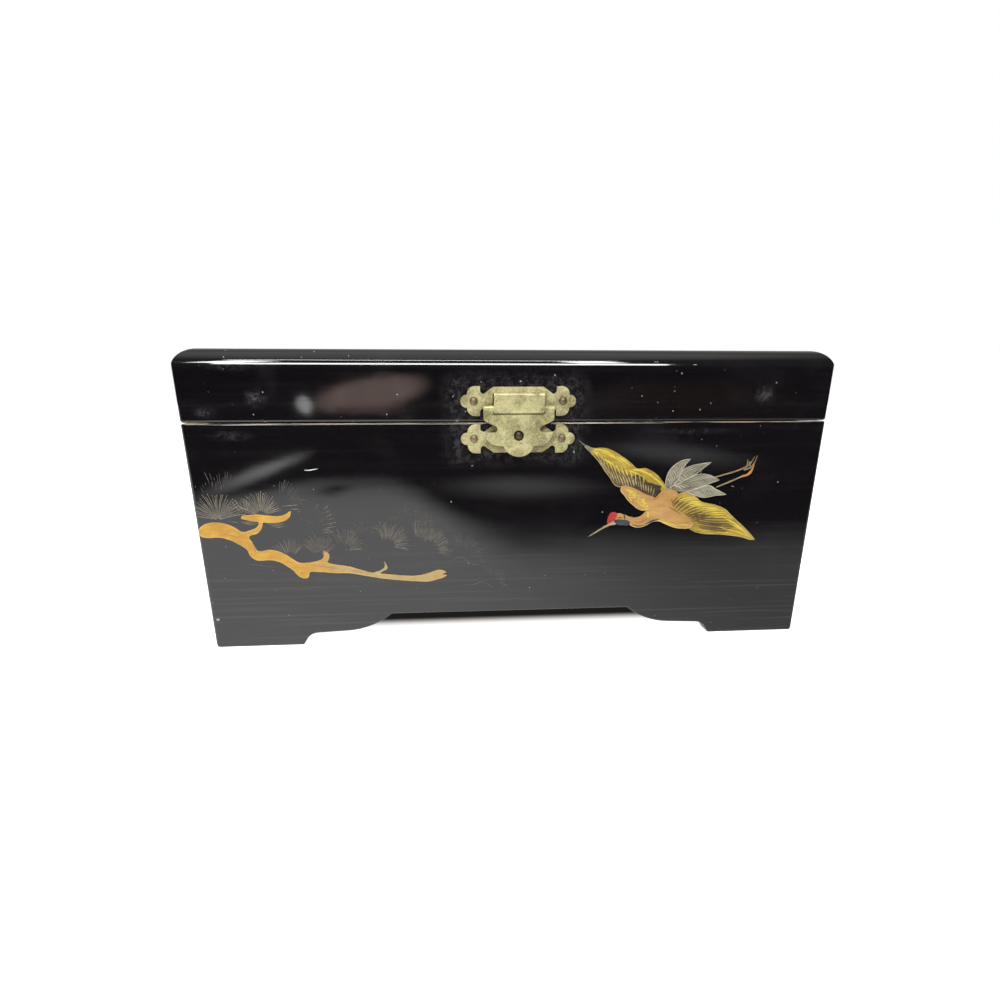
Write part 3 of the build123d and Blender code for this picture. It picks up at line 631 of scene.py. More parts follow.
# %% Velvet
velvet, place = new_material("red_velvet", Roughness=0.9, Specular_IOR_Level=0.2, Sheen_Weight=0.6,
                             Sheen_Roughness=0.4, Sheen_Tint=linear(235, 120, 120))
brushed = noise(stretched(place, (1.0, 0.6, 1.0), (0, 0, 30)), 30.0, detail=3.0, distortion=0.3)
pile = noise(place, 2600.0, roughness=0.8)
nap = calc("ADD", band(brushed, 0.35, 0.65), (pile - 0.5) * 0.9, clamp=True)
dress(velvet, Base_Color=blend(nap, linear(64, 7, 13), linear(88, 11, 19)),
      Normal=relief(brushed * 2.0 + pile, 0.0002, 0.6))
give(velvet, "lining_front", "lining_back", "lining_left", "lining_right", "partition",
     "floor_card_large", "floor_card_small", "lid_lining")

# %% Bare wood
wood, place = new_material("bare_wood", Roughness=0.7)
rings = noise(stretched(place, (1.5, 34, 34)), 2.2, detail=3.0, distortion=0.8)
fibres = noise(stretched(place, (30, 900, 900)), 1.0, detail=3.0)
grain = calc("ADD", calc("FRACT", rings * 7.0) * 0.7, fibres * 0.5, clamp=True)
dress(wood, Base_Color=blend(grain, linear(158, 116, 74), linear(214, 178, 130)),
      Roughness=band(fibres, 0.3, 0.7, 0.6, 0.8), Normal=relief(fibres, 0.00015, 0.4))
give(wood, "case_bottom_panel", "corner_glue_blocks")

# %% Mirror
silver, place = new_material("silvered_glass", Metallic=1.0)
glass_low, glass_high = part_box("mirror_glass")
glass_middle = (glass_low + glass_high) / 2
glass_half = (glass_high - glass_low) / 2
x, y, _ = split(place)
rim_distance = calc("MINIMUM", glass_half.x - abs(x - glass_middle.x), glass_half.y - abs(y - glass_middle.y))
foxing = noise(place, 90.0, detail=5.0, roughness=0.7)
clouded = fade(rim_distance + (foxing - 0.5) * 0.02, 0.001, 0.007)
mist = band(noise(place, 14.0, detail=4.0), 0.4, 0.8, 0.02, 0.07)
dress(silver, Base_Color=blend(clouded, linear(236, 238, 238), linear(150, 144, 130)),
      Roughness=clouded * 0.25 + mist)
give(silver, "mirror_glass")
print("soft and inner finishes", velvet.name, wood.name, silver.name)

# %% [markdown]
# ## Stamped brass with soft edges
#
# A press rolls the edges of sheet brass over a little, and years of fingers do the rest: on the real hasp
# every edge catches a line of light. The CAD plates have sharp edges. Each is copied, its triangles are
# merged back into plain faces, and a small bevel rounds the edges. The CAD pieces stay as they are.

# %% Soft-edged hasp
SOFT_EDGE = 0.3 * MM
EDGE_STEPS = 3
SHARP_TURN = math.radians(32)
SAME_POINT = 0.002 * MM
SAME_PLANE = math.radians(1.0)


def softened(node_name, body):
    """Makes a copy of a CAD piece with rounded edges, which takes its place."""
    bm = bmesh.new()
    bm.from_mesh(nodes[node_name].data)
    bmesh.ops.transform(bm, matrix=nodes[node_name].matrix_world, verts=bm.verts)
    bmesh.ops.remove_doubles(bm, verts=bm.verts, dist=SAME_POINT)
    bmesh.ops.dissolve_limit(bm, angle_limit=SAME_PLANE, verts=bm.verts, edges=bm.edges)
    bmesh.ops.recalc_face_normals(bm, faces=bm.faces)
    made = built(bm, node_name + "_soft", brass)
    made.data.shade_smooth()
    bevel = made.modifiers.new("soft edges", "BEVEL")
    bevel.width = SOFT_EDGE
    bevel.segments = EDGE_STEPS
    bevel.limit_method = "ANGLE"
    bevel.angle_limit = SHARP_TURN
    bevel.harden_normals = True
    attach(made, body)
    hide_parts(node_name)


softened("hasp_upper_plate", "lid")
softened("hasp_lower_plate", "case")
softened("hasp_leaf", "hasp_leaf")
print("hasp pieces softened by", round(SOFT_EDGE / MM, 2), "mm")

# %% [markdown]
# ## Painting on lacquer
#
# The ornament is painted by hand with thick gold and silver paint, so its edges stand a little proud of the
# black. Two kinds of marks make all of it. A filled shape is a closed curve through a few points, with a
# thickness of a few hundredths of a millimetre. A stroke is a thin tapering line through two or more points,
# like one touch of a pointed brush. Places are millimetres on the front face: across from the middle, and up
# from the floor. Later layers lie over earlier ones, as with real paint.

# %% Paint tools
LAYER = 0.016  # from one coat to the next, in millimetres
COAT = 0.02  # half the thickness of a filled shape
CLEAR = 0.01  # between the board and the lowest shape
SHAPE_STEP = 0.4  # layers between the shapes of one piece, so that none lies in another's plane
FLAT = 0.08  # a stroke's thickness as a share of its width
CORNER_START = 138.0  # the upright corner starts to turn here
CORNER_TURN = 2.0
CORNER_CUTS = (0.0, 0.5, 1.0, 1.4)  # where marks are cut to bend round the corner; the last one ends them
SAME_PAINT_POINT = 0.0005 * MM
UPRIGHT = 1.57  # radians; needles bow to the other side past it
NEEDLE_TIP = 0.55
SHARP = "sharp"  # marks a corner of a filled shape
chance = random.Random(23)


def curve_mesh(splines, closed):
    """One mesh from point lists. Points are (x, z), with a width in strokes, or with SHARP at a corner."""
    curve = bpy.data.curves.new("brush", "CURVE")
    if closed:
        curve.dimensions = "2D"
        curve.resolution_u = 6
        curve.fill_mode = "BOTH"
        curve.extrude = COAT
    else:
        curve.dimensions = "3D"
        curve.resolution_u = 3
        curve.fill_mode = "FULL"
        curve.bevel_depth = 0.5  # a knot's radius is then its stroke's width
        curve.bevel_resolution = 1
        curve.use_fill_caps = True
    for points in splines:
        spline = curve.splines.new("BEZIER")
        spline.bezier_points.add(len(points) - 1)
        spline.use_cyclic_u = closed
        for knot, point in zip(spline.bezier_points, points):
            knot.co = (point[0], point[1], 0)
            widths = [extra for extra in point[2:] if extra is not SHARP]
            knot.radius = widths[0] if widths else 1.0
            knot.handle_left_type = knot.handle_right_type = "VECTOR" if SHARP in point else "AUTO"
    holder = bpy.data.objects.new("brush", curve)
    mesh = bpy.data.meshes.new_from_object(holder)
    bpy.data.objects.remove(holder)
    bpy.data.curves.remove(curve)
    return mesh


def add_marks(bm, mesh, layer, flat):
    """Adds a mesh of marks to a painted piece: turned upright, put on the front face, on one layer."""
    marks = bmesh.new()
    marks.from_mesh(mesh)
    for cut in CORNER_CUTS:
        bmesh.ops.bisect_plane(
            marks, geom=marks.verts[:] + marks.edges[:] + marks.faces[:],
            plane_co=(-CORNER_START - cut, 0, 0), plane_no=(1, 0, 0), clear_inner=cut == CORNER_CUTS[-1],
        )
    lift = COAT + CLEAR + layer * LAYER
    for vert in marks.verts:
        x, z, out = vert.co
        past_corner = min(max(-CORNER_START - x, 0.0), CORNER_TURN)
        back = CORNER_TURN - math.sqrt(CORNER_TURN**2 - past_corner**2)
        vert.co = (x * MM, front_y - (lift + out * flat - back) * MM, z * MM)
    marks.to_mesh(mesh)
    marks.free()
    bm.from_mesh(mesh)
    bpy.data.meshes.remove(mesh)


def painted(name, material, layer, strokes=(), shapes=()):
    """Makes one painted piece from strokes and filled shapes."""
    bm = bmesh.new()
    for index, points in enumerate(shapes):
        add_marks(bm, curve_mesh([points], True), layer + index * SHAPE_STEP, 1.0)
    if strokes:
        add_marks(bm, curve_mesh(strokes, False), layer, FLAT)
    bmesh.ops.remove_doubles(bm, verts=bm.verts, dist=SAME_PAINT_POINT)
    bmesh.ops.recalc_face_normals(bm, faces=bm.faces)
    made = built(bm, name + "_paint", material)
    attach(made, "case")


def touch(start, end, width, bow=0.0, tip=0.35):
    """A stroke from one point to another, bowed sideways. Its tips have a share of its width."""
    middle = ((start[0] + end[0]) / 2, (start[1] + end[1]) / 2)
    side = (start[1] - end[1], end[0] - start[0])
    bowed = (middle[0] + side[0] * bow, middle[1] + side[1] * bow)
    return [(*start, width * tip), (*bowed, width), (*end, width * tip)]


def touches(*rows):
    """Single strokes, each given as (x, z, x, z, width) and if need be its bow and tip."""
    return [touch(row[:2], row[2:4], *row[4:]) for row in rows]


def outline(points, width, closed=True):
    """A stroke that follows the edge of a filled shape, all the way round or only along the points."""
    line = [(x, z, width * chance.uniform(0.8, 1.2), *corner) for x, z, *corner in points + points[:1]]
    return line if closed else line[:-1]


def along(line, share):
    """Point at a share of the way along a broken line."""
    reach = share * (len(line) - 1)
    index = min(int(reach), len(line) - 2)
    part = reach - index
    return tuple(a + (b - a) * part for a, b in zip(line[index], line[index + 1]))


def hatch(sides, count, width, low=0.0, high=1.0, bow=0.0, loose=0.4, reach=(0.0, 1.0)):
    """Strokes from the first of two broken lines to the second, side by side, each a little off."""
    strokes = []
    for index in range(count):
        share = low + (high - low) * (index + 0.5) / count
        a, b = (along(side, share) for side in sides)
        ends = []
        for part in reach:
            part += chance.uniform(-0.07, 0.07)
            ends.append(tuple(p + (q - p) * part + chance.uniform(-loose, loose) * 0.4 for p, q in zip(a, b)))
        strokes.append(touch(ends[0], ends[1], width * chance.uniform(0.75, 1.25), bow))
    return strokes


def fan(middle, inner, outer, low, high, count, width, bow=0.02):
    """Needles that spread from one point, between two angles."""
    strokes = []
    for index in range(count):
        turn = math.radians(low + (high - low) * (index + chance.uniform(0.2, 0.8)) / count)
        near, far = inner * chance.uniform(0.85, 1.2), outer * chance.uniform(0.84, 1.04)
        start = (middle[0] + near * math.cos(turn), middle[1] + near * math.sin(turn))
        end = (middle[0] + far * math.cos(turn), middle[1] + far * math.sin(turn))
        side = bow if turn < UPRIGHT else -bow
        strokes.append(touch(start, end, width * chance.uniform(0.8, 1.25), side, NEEDLE_TIP))
    return strokes


# %% [markdown]
# ### Paints
#
# Gold paint isn't one colour. It is thinner where the brush ran dry and shows some of the black below, and it
# lies in streaks. Each paint therefore runs between a dark and a light tone, in long patches that follow the
# brush, and has tiny losses where the black shows again. Along its middle the branch's gold has paled.

# %% Paint finish
PAINT_ROUGHNESS = 0.42


def paint(name, dark, light, slant=0.0, losses=0.5, waves=620.0, over=None):
    """Thick matt paint between two screen colours, with streaks at a slant in degrees, and small losses."""
    material, place = new_material(name)
    streaks = noise(stretched(place, (0.3, 1.0, 1.0), (0, slant, 0)), waves, detail=4.0, roughness=0.65)
    patches = noise(place, 90.0, detail=3.0)
    grit = noise(place, 1400.0, roughness=0.8)
    tone = band(streaks, 0.3, 0.7) * 0.6 + band(patches, 0.3, 0.7) * 0.4
    tone = calc("ADD", tone, (grit - 0.5) * 0.5, clamp=True)
    lost = band(streaks, 0.70, 0.80) * losses
    colour = blend(lost, blend(tone, linear(*dark), linear(*light)), linear(40, 34, 30))
    if over:
        colour = over(colour, place)
    rough = band(patches, 0.3, 0.7, PAINT_ROUGHNESS - 0.06, PAINT_ROUGHNESS + 0.1)
    dress(material, Base_Color=colour, Roughness=rough, Normal=relief(streaks + grit * 0.4, 0.00004, 0.7))
    return material


def paled(colour, place):
    """Mottled cream over a stretch of a colour."""
    x, _, _ = split(place)
    cream = blend(noise(place, 200.0, detail=3.0), linear(148, 132, 92), linear(188, 172, 124))
    return blend(band(x, -0.098, -0.070) * fade(x, -0.045, -0.036, 0.8) * 0.8, colour, cream)


bark_paint = paint("bark_gold", (176, 124, 30), (210, 164, 56), losses=0.2, over=paled)
needle_bright = paint("needle_cream", (116, 106, 90), (172, 160, 134), losses=0.4)
needle_middle = paint("needle_grey", (84, 78, 68), (132, 124, 106), losses=0.4)
needle_faint = paint("needle_dim", (58, 55, 51), (92, 87, 79), losses=0.4)
wing_gold = paint("wing_gold", (138, 110, 34), (200, 172, 54), slant=35)
wing_lemon = paint("wing_lemon", (196, 168, 52), (232, 214, 86), losses=0.2)
wing_olive = paint("wing_olive", (70, 54, 28), (116, 92, 50))
wing_rear = paint("wing_rear", (78, 64, 38), (122, 104, 64), slant=55)
wing_cream = paint("wing_cream", (150, 134, 84), (206, 190, 124))
body_tan = paint("body_tan", (168, 124, 62), (200, 156, 88), losses=0.1, waves=400.0)
body_cream = paint("body_cream", (186, 158, 96), (224, 200, 132), losses=0.2)
dark_brown = paint("dark_brown", (44, 36, 24), (78, 62, 40))
tail_silver = paint("tail_silver", (84, 79, 62), (152, 146, 124), slant=-40)
tail_bright = paint("tail_bright", (150, 145, 124), (204, 199, 178))
tail_shade = paint("tail_shade", (84, 78, 62), (122, 114, 92))
crown_red = paint("crown_red", (156, 26, 26), (194, 50, 46), losses=0.1)
head_grey = paint("head_grey", (40, 40, 47), (74, 73, 82))
leg_tan = paint("leg_tan", (110, 94, 62), (150, 132, 94))
beak_cream = paint("beak_cream", (140, 126, 94), (188, 174, 138))
scratch_white = paint("scratch_white", (196, 194, 190), (240, 239, 236))
foot_orange = paint("foot_orange", (176, 112, 50), (204, 142, 76))
bark_rim = paint("bark_rim", (190, 138, 56), (226, 182, 96))
bark_brown = paint("bark_brown", (128, 84, 34), (164, 112, 52))
print("paints mixed", len([m for m in bpy.data.materials if m.use_nodes]))

# %% [markdown]
# ### Pine
#
# A branch enters from the left, turns down and runs along the board to the right. It is the thickest gold on
# the box. Needles are hairlines of thin paint in open fans, the near ones bright and the far ones faint, with
# some loose dashes between them.

# %% Pine branch
trunk = [
    (-139.4, 55.6), (-137.6, 57.6), (-134.8, 58.9), (-130.4, 59.2), (-126.6, 58.3), (-123.6, 56.8),
    (-120.6, 54.8), (-116.6, 55.7), (-114, 56.9), (-112.9, 58.8), (-112.6, 60.8), (-111.5, 60.6),
    (-111.7, 58.4), (-112.5, 56.2), (-114.6, 54.2), (-118.1, 52.9), (-117.4, 50.6), (-116.5, 48.5),
    (-115.2, 46.1), (-110, 46.5), (-106, 45.6), (-102.5, 43.6), (-99.5, 41.3), (-97.6, 40.2), (-92, 40.2),
    (-86, 40.1), (-82, 39), (-76, 38), (-70, 36), (-66, 34.8), (-58, 33.8), (-50, 33), (-44, 33), (-40, 34),
    (-36.4, 35.2), (-33.6, 35.3), (-31.8, 34.3, SHARP), (-34, 33.5, SHARP), (-31.6, 32.9, SHARP),
    (-33.4, 31.9), (-36, 31.2), (-40, 30.2), (-45, 30.4), (-50, 30.8), (-60, 32), (-68, 33.5), (-75, 35),
    (-82, 35.3), (-90, 36), (-93.6, 35.8), (-94.1, 34), (-95.4, 33.1), (-97.5, 33.6), (-99.2, 35),
    (-100.2, 36.6), (-102.5, 38.5), (-106, 41), (-110, 42), (-115, 41.9), (-117.2, 42.6), (-118.7, 44.4),
    (-119.6, 47), (-122.4, 49.2), (-127, 51.8), (-131.3, 52.8), (-136, 52.7), (-138.8, 53.6),
]
sprig = [
    (-96, 39.4), (-92.6, 40.4), (-89.1, 41.2), (-86.9, 42.5), (-86.5, 45.6, SHARP), (-85.1, 45.2),
    (-84.1, 43.8), (-84.5, 41.6), (-85, 40.2), (-82.5, 38.4), (-88, 37.6),
]
twig = [
    (-67, 33.6), (-64.6, 35), (-61.4, 36.2), (-59.8, 37.6), (-59.9, 40.4, SHARP), (-58.7, 38.2),
    (-58.5, 36.8), (-60.8, 35.4), (-64, 33.4),
]
upper_bough = [
    (-120.4, 61, SHARP), (-119.7, 61.9), (-117.4, 62.2), (-113.3, 62.4), (-108.1, 61.8), (-103.8, 61.6),
    (-101.5, 62.3), (-99, 63.8, SHARP), (-99.8, 61.4), (-102.9, 59.5), (-107.3, 59.1), (-111.7, 59.3),
    (-117.1, 60.1),
]
painted("pine_branch", bark_paint, 1, shapes=[trunk, sprig, twig, upper_bough])
rims = [outline(trunk, 0.36), outline(upper_bough, 0.36)]
painted("pine_branch_rim", bark_rim, 2.6, rims)
bark_marks = touches(
    (-116.6, 48, -116.2, 45.6, 0.5), (-97.2, 35.6, -96.8, 35, 0.7), (-133, 59, -124, 57.2, 0.3, 0.08),
    (-130, 54.2, -121.6, 50.9, 0.3, 0.1), (-104, 41.9, -99, 38, 0.3, 0.08), (-92, 38.9, -80, 37.2, 0.25),
    (-76, 36.6, -64, 33.9, 0.25),
)
painted("pine_bark_lines", bark_brown, 3, bark_marks)

# %% Pine needles
HAIR = 0.21
bright_needles = (
    fan((-130.2, 60.6), 2.2, 12, 8, 172, 25, HAIR)
    + fan((-111.7, 62), 2.2, 10.4, 14, 168, 25, HAIR)
    + fan((-130.2, 60.4), 0.8, 2.8, 15, 165, 9, 0.36)
    + fan((-118.5, 61.5), 3, 8, 60, 130, 6, HAIR)
)
ladder = enumerate([(-83.4, 65.4), (-82.2, 63.6), (-81.4, 61.8), (-81, 59.9), (-80.8, 57.9), (-80.9, 56)])
middle_needles = (
    [touch((x - 1.4 - 0.5 * i, z - 1 + 0.2 * i), (x + 0.9, z + 0.7), 0.34) for i, (x, z) in ladder]
    + touches((-87, 55.4, -81.2, 54.4, 0.3, 0.05), (-85.8, 54, -81.6, 54.2, 0.34))
    + fan((-101.5, 42), 3, 10, 40, 140, 17, HAIR)
    + fan((-88.5, 42.5), 2.6, 10.4, 30, 140, 19, HAIR)
    + fan((-78, 45.5), 3.5, 10.4, 0, 116, 19, HAIR)
    + fan((-58, 47.5), 3.5, 11, -16, 122, 26, HAIR)
    + fan((-45, 48), 3.5, 11, 16, 100, 17, HAIR)
    + fan((-40, 45), 4.5, 11.5, -18, 84, 21, HAIR)
    + touches((-102.4, 66, -95.5, 66.4, 0.36, 0.02), (-99, 64.8, -95, 64.7, 0.36))
    + [touch((-121 + i, 59.4 - 0.6 * i), (-115 + i, 60.0 - 0.5 * i), 0.36, -0.06) for i in range(3)]
    + [touch((-110 + i, 58.8 - 0.8 * i), (-102.4 + i * 0.4, 59.2 - 0.8 * i), 0.36, -0.08) for i in range(3)]
    + touches((-126.5, 59.9, -121, 58.6, 0.3, 0.05), (-137.4, 61.6, -132, 60.9, 0.36, 0.06))
)
faint_needles = (
    fan((-127, 62), 14, 20, 72, 108, 9, 0.26)
    + fan((-103.5, 66), 6, 12, 4, 86, 16, 0.26)
    + fan((-68, 50), 4, 9, 30, 150, 13, 0.24)
    + fan((-95, 56), 9.5, 14, -6, 56, 11, 0.28)
    + fan((-48, 52), 9, 14, 15, 140, 20, 0.26)
    + fan((-25, 40.5), 7, 12, -10, 110, 20, 0.26)
    + fan((-13, 27.5), 6, 10.5, -15, 100, 18, 0.26)
    + fan((-131, 62), 12.5, 15.5, 70, 120, 8, 0.28)
    + [touch((-120 + 3 * i, 40.2 - 0.5 * i), (-112 + 3 * i, 39.6 - 0.4 * i), 0.3, -0.05) for i in range(3)]
    + [
        [(-70, 56, 0.2), (-67.5, 55.2, 0.34), (-65, 56.6, 0.34), (-62.5, 55.4, 0.34), (-60, 56.4, 0.2)],
        [(-30, 39.6, 0.2), (-25, 41.2, 0.34), (-20, 38.2, 0.34), (-14, 37, 0.2)],
        [(-24, 28, 0.2), (-19, 28.2, 0.34), (-15, 29.2, 0.34), (-10, 26, 0.2)],
    ]
    + touches((-95.5, 60, -89.5, 58.6, 0.3, 0.05))
)
painted("pine_needles_bright", needle_bright, 2, bright_needles)
painted("pine_needles_middle", needle_middle, 1, middle_needles)
painted("pine_needles_faint", needle_faint, 0, faint_needles)
print("needles", len(bright_needles) + len(middle_needles) + len(faint_needles))

# %% [markdown]
# ### Crane
#
# The crane is a traditional figure of good luck. It flies to the left with its wings spread and its legs
# trailing. The wings are gold shapes, then dark feather strokes, then cream and lemon strokes over them. Body
# and neck are smooth tan, the tail is four silver feathers, and the crown is one red touch.

# %% Crane's wings
left_wing = [
    (27.4, 93.6, SHARP), (31, 91.2), (34.2, 90), (38, 90), (41.2, 89.6), (47.2, 86.5), (52.1, 83.1),
    (54.8, 80.9), (58.7, 80.9), (61.4, 79.8), (63.8, 78.3), (67.6, 74.3), (69.8, 71.6), (70.5, 69.8),
    (67.5, 69.2), (66.3, 71.2), (64, 73.4), (58, 74.4), (50.4, 73.4), (47.6, 72.7), (44.8, 73.8), (43, 76.5),
    (40, 80.2), (37, 84.2), (34, 87.3), (30.6, 90.6),
]
left_rear = [
    (33.6, 87.8, SHARP), (36, 86.4), (40, 83.2), (44, 80.4), (49, 78.6), (53, 77.4), (54, 73.4), (50.4, 73),
    *left_wing[19:24],
]
left_dark = [
    (51, 73.4, SHARP), (52.4, 76.6), (55, 78), (57.6, 76.8), (61, 74.2), (64.6, 73.4), (66.8, 72.8, SHARP),
    (66, 70.6), (64.2, 68), (62.8, 66.4), (59.6, 68.6), (54.8, 71.2),
]
shoulder = [
    (48, 71.3), (48.5, 72.8), (51, 73), (55, 71.6), (59.6, 69.2), (64.4, 67), (64.6, 64.6), (62, 62.6),
    (59.4, 61.9), (57, 62.4), (54, 64.5), (51.4, 66.9), (49.6, 69.3),
]
right_wing = [
    (71.5, 70.2), (74, 70.2), (78, 70), (82, 68.6), (86, 65.6), (92, 64), (98, 61.6), (99.8, 60), (103, 57.2),
    (108, 53), (111.4, 49.8), (114, 47, SHARP), (111.4, 47.1), (109, 48), (103, 49.2), (95, 50), (88, 50.4),
    (84, 51.5), (81, 53.2), (78, 56), (73, 60.5), (70, 64),
]
painted("crane_wings", wing_gold, 1, shapes=[left_wing, right_wing])
painted("crane_wing_rear", wing_rear, 2, shapes=[left_rear])
painted("crane_wing_dark", dark_brown, 2.4, shapes=[left_dark])

# %% Crane's feathers
left_sides = (
    [(33, 90), (36, 88.5), (40, 86), (44, 83.4), (49, 81), (54, 79), (59, 76.5), (65, 73.6)],
    [(36, 85.8), (41, 79.6), (45, 74.6), (48.8, 73.4), (52.5, 72.9), (56, 71.4), (60, 69.4), (63.5, 67.4)],
)
right_sides = (
    [(71.2, 64.4), (74, 61.4), (77, 59.4), (80, 57.2), (82, 55.4)],
    [(75, 69.6), (81, 67.6), (87, 64.2), (92, 60.8), (96, 57.6)],
)
streak_sides = (
    [(79, 60.4), (82, 58.6), (84, 56.8), (85.6, 55.2), (86.4, 53.4), (86, 51.9)],
    [(97, 59.8), (100.5, 57), (102, 55), (102, 53.2), (101, 51.6), (99, 50.6)],
)
lemon_sides = (
    [(74.5, 66.4), (78, 64.6), (82, 62.4), (86, 60.2), (92, 57.4)],
    [(82, 68.4), (87, 65), (93, 63.2), (98.5, 60.8), (103, 56.6)],
)
olive_strokes = hatch(left_sides, 13, 0.6, 0.10, 0.84, 0.02, loose=0.15, reach=(0.16, 0.96))
cream_strokes = hatch(left_sides, 12, 0.5, 0.06, 0.66, 0.02, loose=0.15, reach=(0.46, 0.98))
cream_strokes += hatch(left_sides, 9, 0.5, 0.64, 0.99, 0.0, loose=0.1, reach=(0.34, 0.84))
olive_strokes += hatch(right_sides, 11, 0.75, 0.0, 1.0, 0.05, loose=0.2, reach=(0.02, 0.74))
olive_strokes += hatch(streak_sides, 8, 0.7, 0.0, 1.0, -0.03, loose=0.5)
lemon_strokes = touches(
    (35, 89.4, 44, 86.6, 0.9, 0.06), (38, 88.2, 49, 82.8, 0.8, 0.05), (37, 86.4, 46, 81.4, 0.6),
    (45, 86.2, 51.6, 82, 0.8, 0.04), (53, 80.2, 60, 78.6, 1.1, 0.08), (57, 79.4, 64.4, 75.2, 1.0, 0.08),
    (62, 77.2, 68.6, 71.4, 0.9, 0.05), (51, 80, 57, 77.4, 0.7, 0.04), (41, 84.4, 48, 79.6, 0.5),
    (30, 91.4, 35, 88.4, 0.5),
)
lemon_right = hatch(lemon_sides, 12, 0.6, bow=0.04, reach=(0.1, 0.95)) + touches(
    (98, 57.6, 108, 51.6, 0.8, 0.03), (100, 55.4, 110.5, 49.6, 0.7, 0.03), (96, 53.4, 108, 49.8, 0.6),
    (90, 51.6, 103, 50.2, 0.6), (84.6, 52.4, 96, 51, 0.5), (104, 51.6, 112.6, 47.8, 0.5),
)
lemon_strokes += hatch(left_sides, 13, 0.5, 0.06, 0.86, 0.02, loose=0.3, reach=(0.0, 0.44)) + lemon_right
shadow_strokes = hatch(left_sides, 12, 0.34, 0.12, 0.90, 0.02, loose=0.3, reach=(0.10, 0.66))
shadow_strokes += hatch(right_sides, 10, 0.36, 0.06, 1.0, 0.05, loose=0.3, reach=(0.02, 0.84))
shadow_strokes += hatch(streak_sides, 9, 0.36, 0.0, 1.0, -0.03, loose=0.5, reach=(0.05, 1.0))
wing_tip = [
    (27.4, 93.6, SHARP), (30.6, 91.5), (33.4, 90.2), (34.6, 89, SHARP), (33.6, 88.6), (33.8, 87.4, SHARP),
    (30.6, 90.6),
]
rims = [outline(right_wing[5:18], 0.3, closed=False), outline(left_wing[18:], 0.3, closed=False)]
painted("crane_feather_shadow", wing_olive, 3, olive_strokes)
painted("crane_feather_cream", wing_cream, 4, cream_strokes)
painted("crane_feather_lemon", wing_lemon, 5, lemon_strokes)
painted("crane_wing_shadow", wing_olive, 6, shadow_strokes)
painted("crane_wing_tip", tail_silver, 5.2, shapes=[wing_tip])
painted("crane_wing_rim", wing_cream, 5.5, rims)

# %% Crane's body, neck and head
SHOULDER_DABS = 70
body = [
    (60.6, 62.2), (61.4, 64.4), (63, 66.6), (65, 68.4), (66.6, 70.2), (69, 71.2), (72.4, 71), (74.4, 69.6),
    (73.4, 66.6), (72.4, 64.6), (74, 62.4), (77, 60.6), (80.6, 58.2), (83, 55.4), (81.6, 53.4), (78, 53.1),
    (74.6, 53.6), (70, 55.4), (66.6, 56.8), (63.4, 56.2), (60, 54.6), (57, 54), (54.4, 54.6), (52.6, 55.9),
    (49, 56.4), (46.4, 57.6), (45.6, 59.4), (47.4, 60.6), (50.2, 60), (53, 59), (56, 58.6), (58.4, 59.6),
]
beak = [
    (46.4, 57.2), (43.4, 55.9), (39.6, 53.8), (36.6, 51.8), (33.6, 49.7, SHARP), (37.2, 51.5), (40.6, 53.4),
    (44, 55), (46.8, 55.8),
]
face_patch = [(45.8, 57), (47.6, 57.8), (50, 57.6), (53.2, 56.4), (52.8, 55.2), (50, 55), (47.4, 55.4)]
crown = [
    (44.6, 61.2), (46.6, 60.8), (47, 59.4), (45.8, 57.8), (44.4, 56.4), (42.8, 56), (42.6, 57.8),
    (43.2, 59.8),
]
rims = [outline(shoulder[7:] + shoulder[:2], 0.5, closed=False), outline(body[13:26], 0.4, closed=False)]
body_lights = touches(
    (61.2, 61.2, 61.6, 58.2, 1.3, 0.0, 0.5), (50.2, 71.4, 55.4, 69.8, 0.7), (66, 57.4, 76, 54.4, 0.8, -0.04),
    (76, 54.8, 81.4, 54.6, 0.7),
)
for _ in range(SHOULDER_DABS):
    x = chance.uniform(51.6, 60.4)
    z = 69.6 - 0.62 * (x - 51.6) + chance.uniform(-2.2, 1.9)
    end = (x + chance.uniform(0.5, 1.1), z - chance.uniform(0.3, 0.7))
    body_lights.append(touch((x, z), end, chance.uniform(0.4, 0.6)))
body_shades = touches(
    (70.6, 63.2, 77, 59.6, 0.8, 0.03), (71.8, 66.8, 73.6, 63.4, 0.9), (62.4, 65.8, 66, 68.6, 0.5),
    (56, 56.2, 60.8, 57.6, 0.6, -0.1), (49, 70, 53, 66.2, 0.5, -0.05),
)
face_strokes = touches(
    (60.4, 55.3, 67, 57.6, 1.1, 0.04), (54, 55.2, 60.6, 55, 0.7, -0.1), (50.2, 60, 50.8, 57.6, 0.8),
    (47, 58.2, 49.6, 58.6, 0.6, 0.1),
)
painted("crane_shoulder", body_tan, 6, shapes=[body, shoulder])
painted("crane_body_rim", body_cream, 7.4, rims)
painted("crane_body_light", wing_lemon, 8, body_lights)
painted("crane_body_shade", bark_brown, 7, body_shades)
painted("crane_beak", beak_cream, 7, shapes=[beak])
painted("crane_face", head_grey, 8, face_strokes, [face_patch])
painted("crane_crown", crown_red, 9, shapes=[crown])

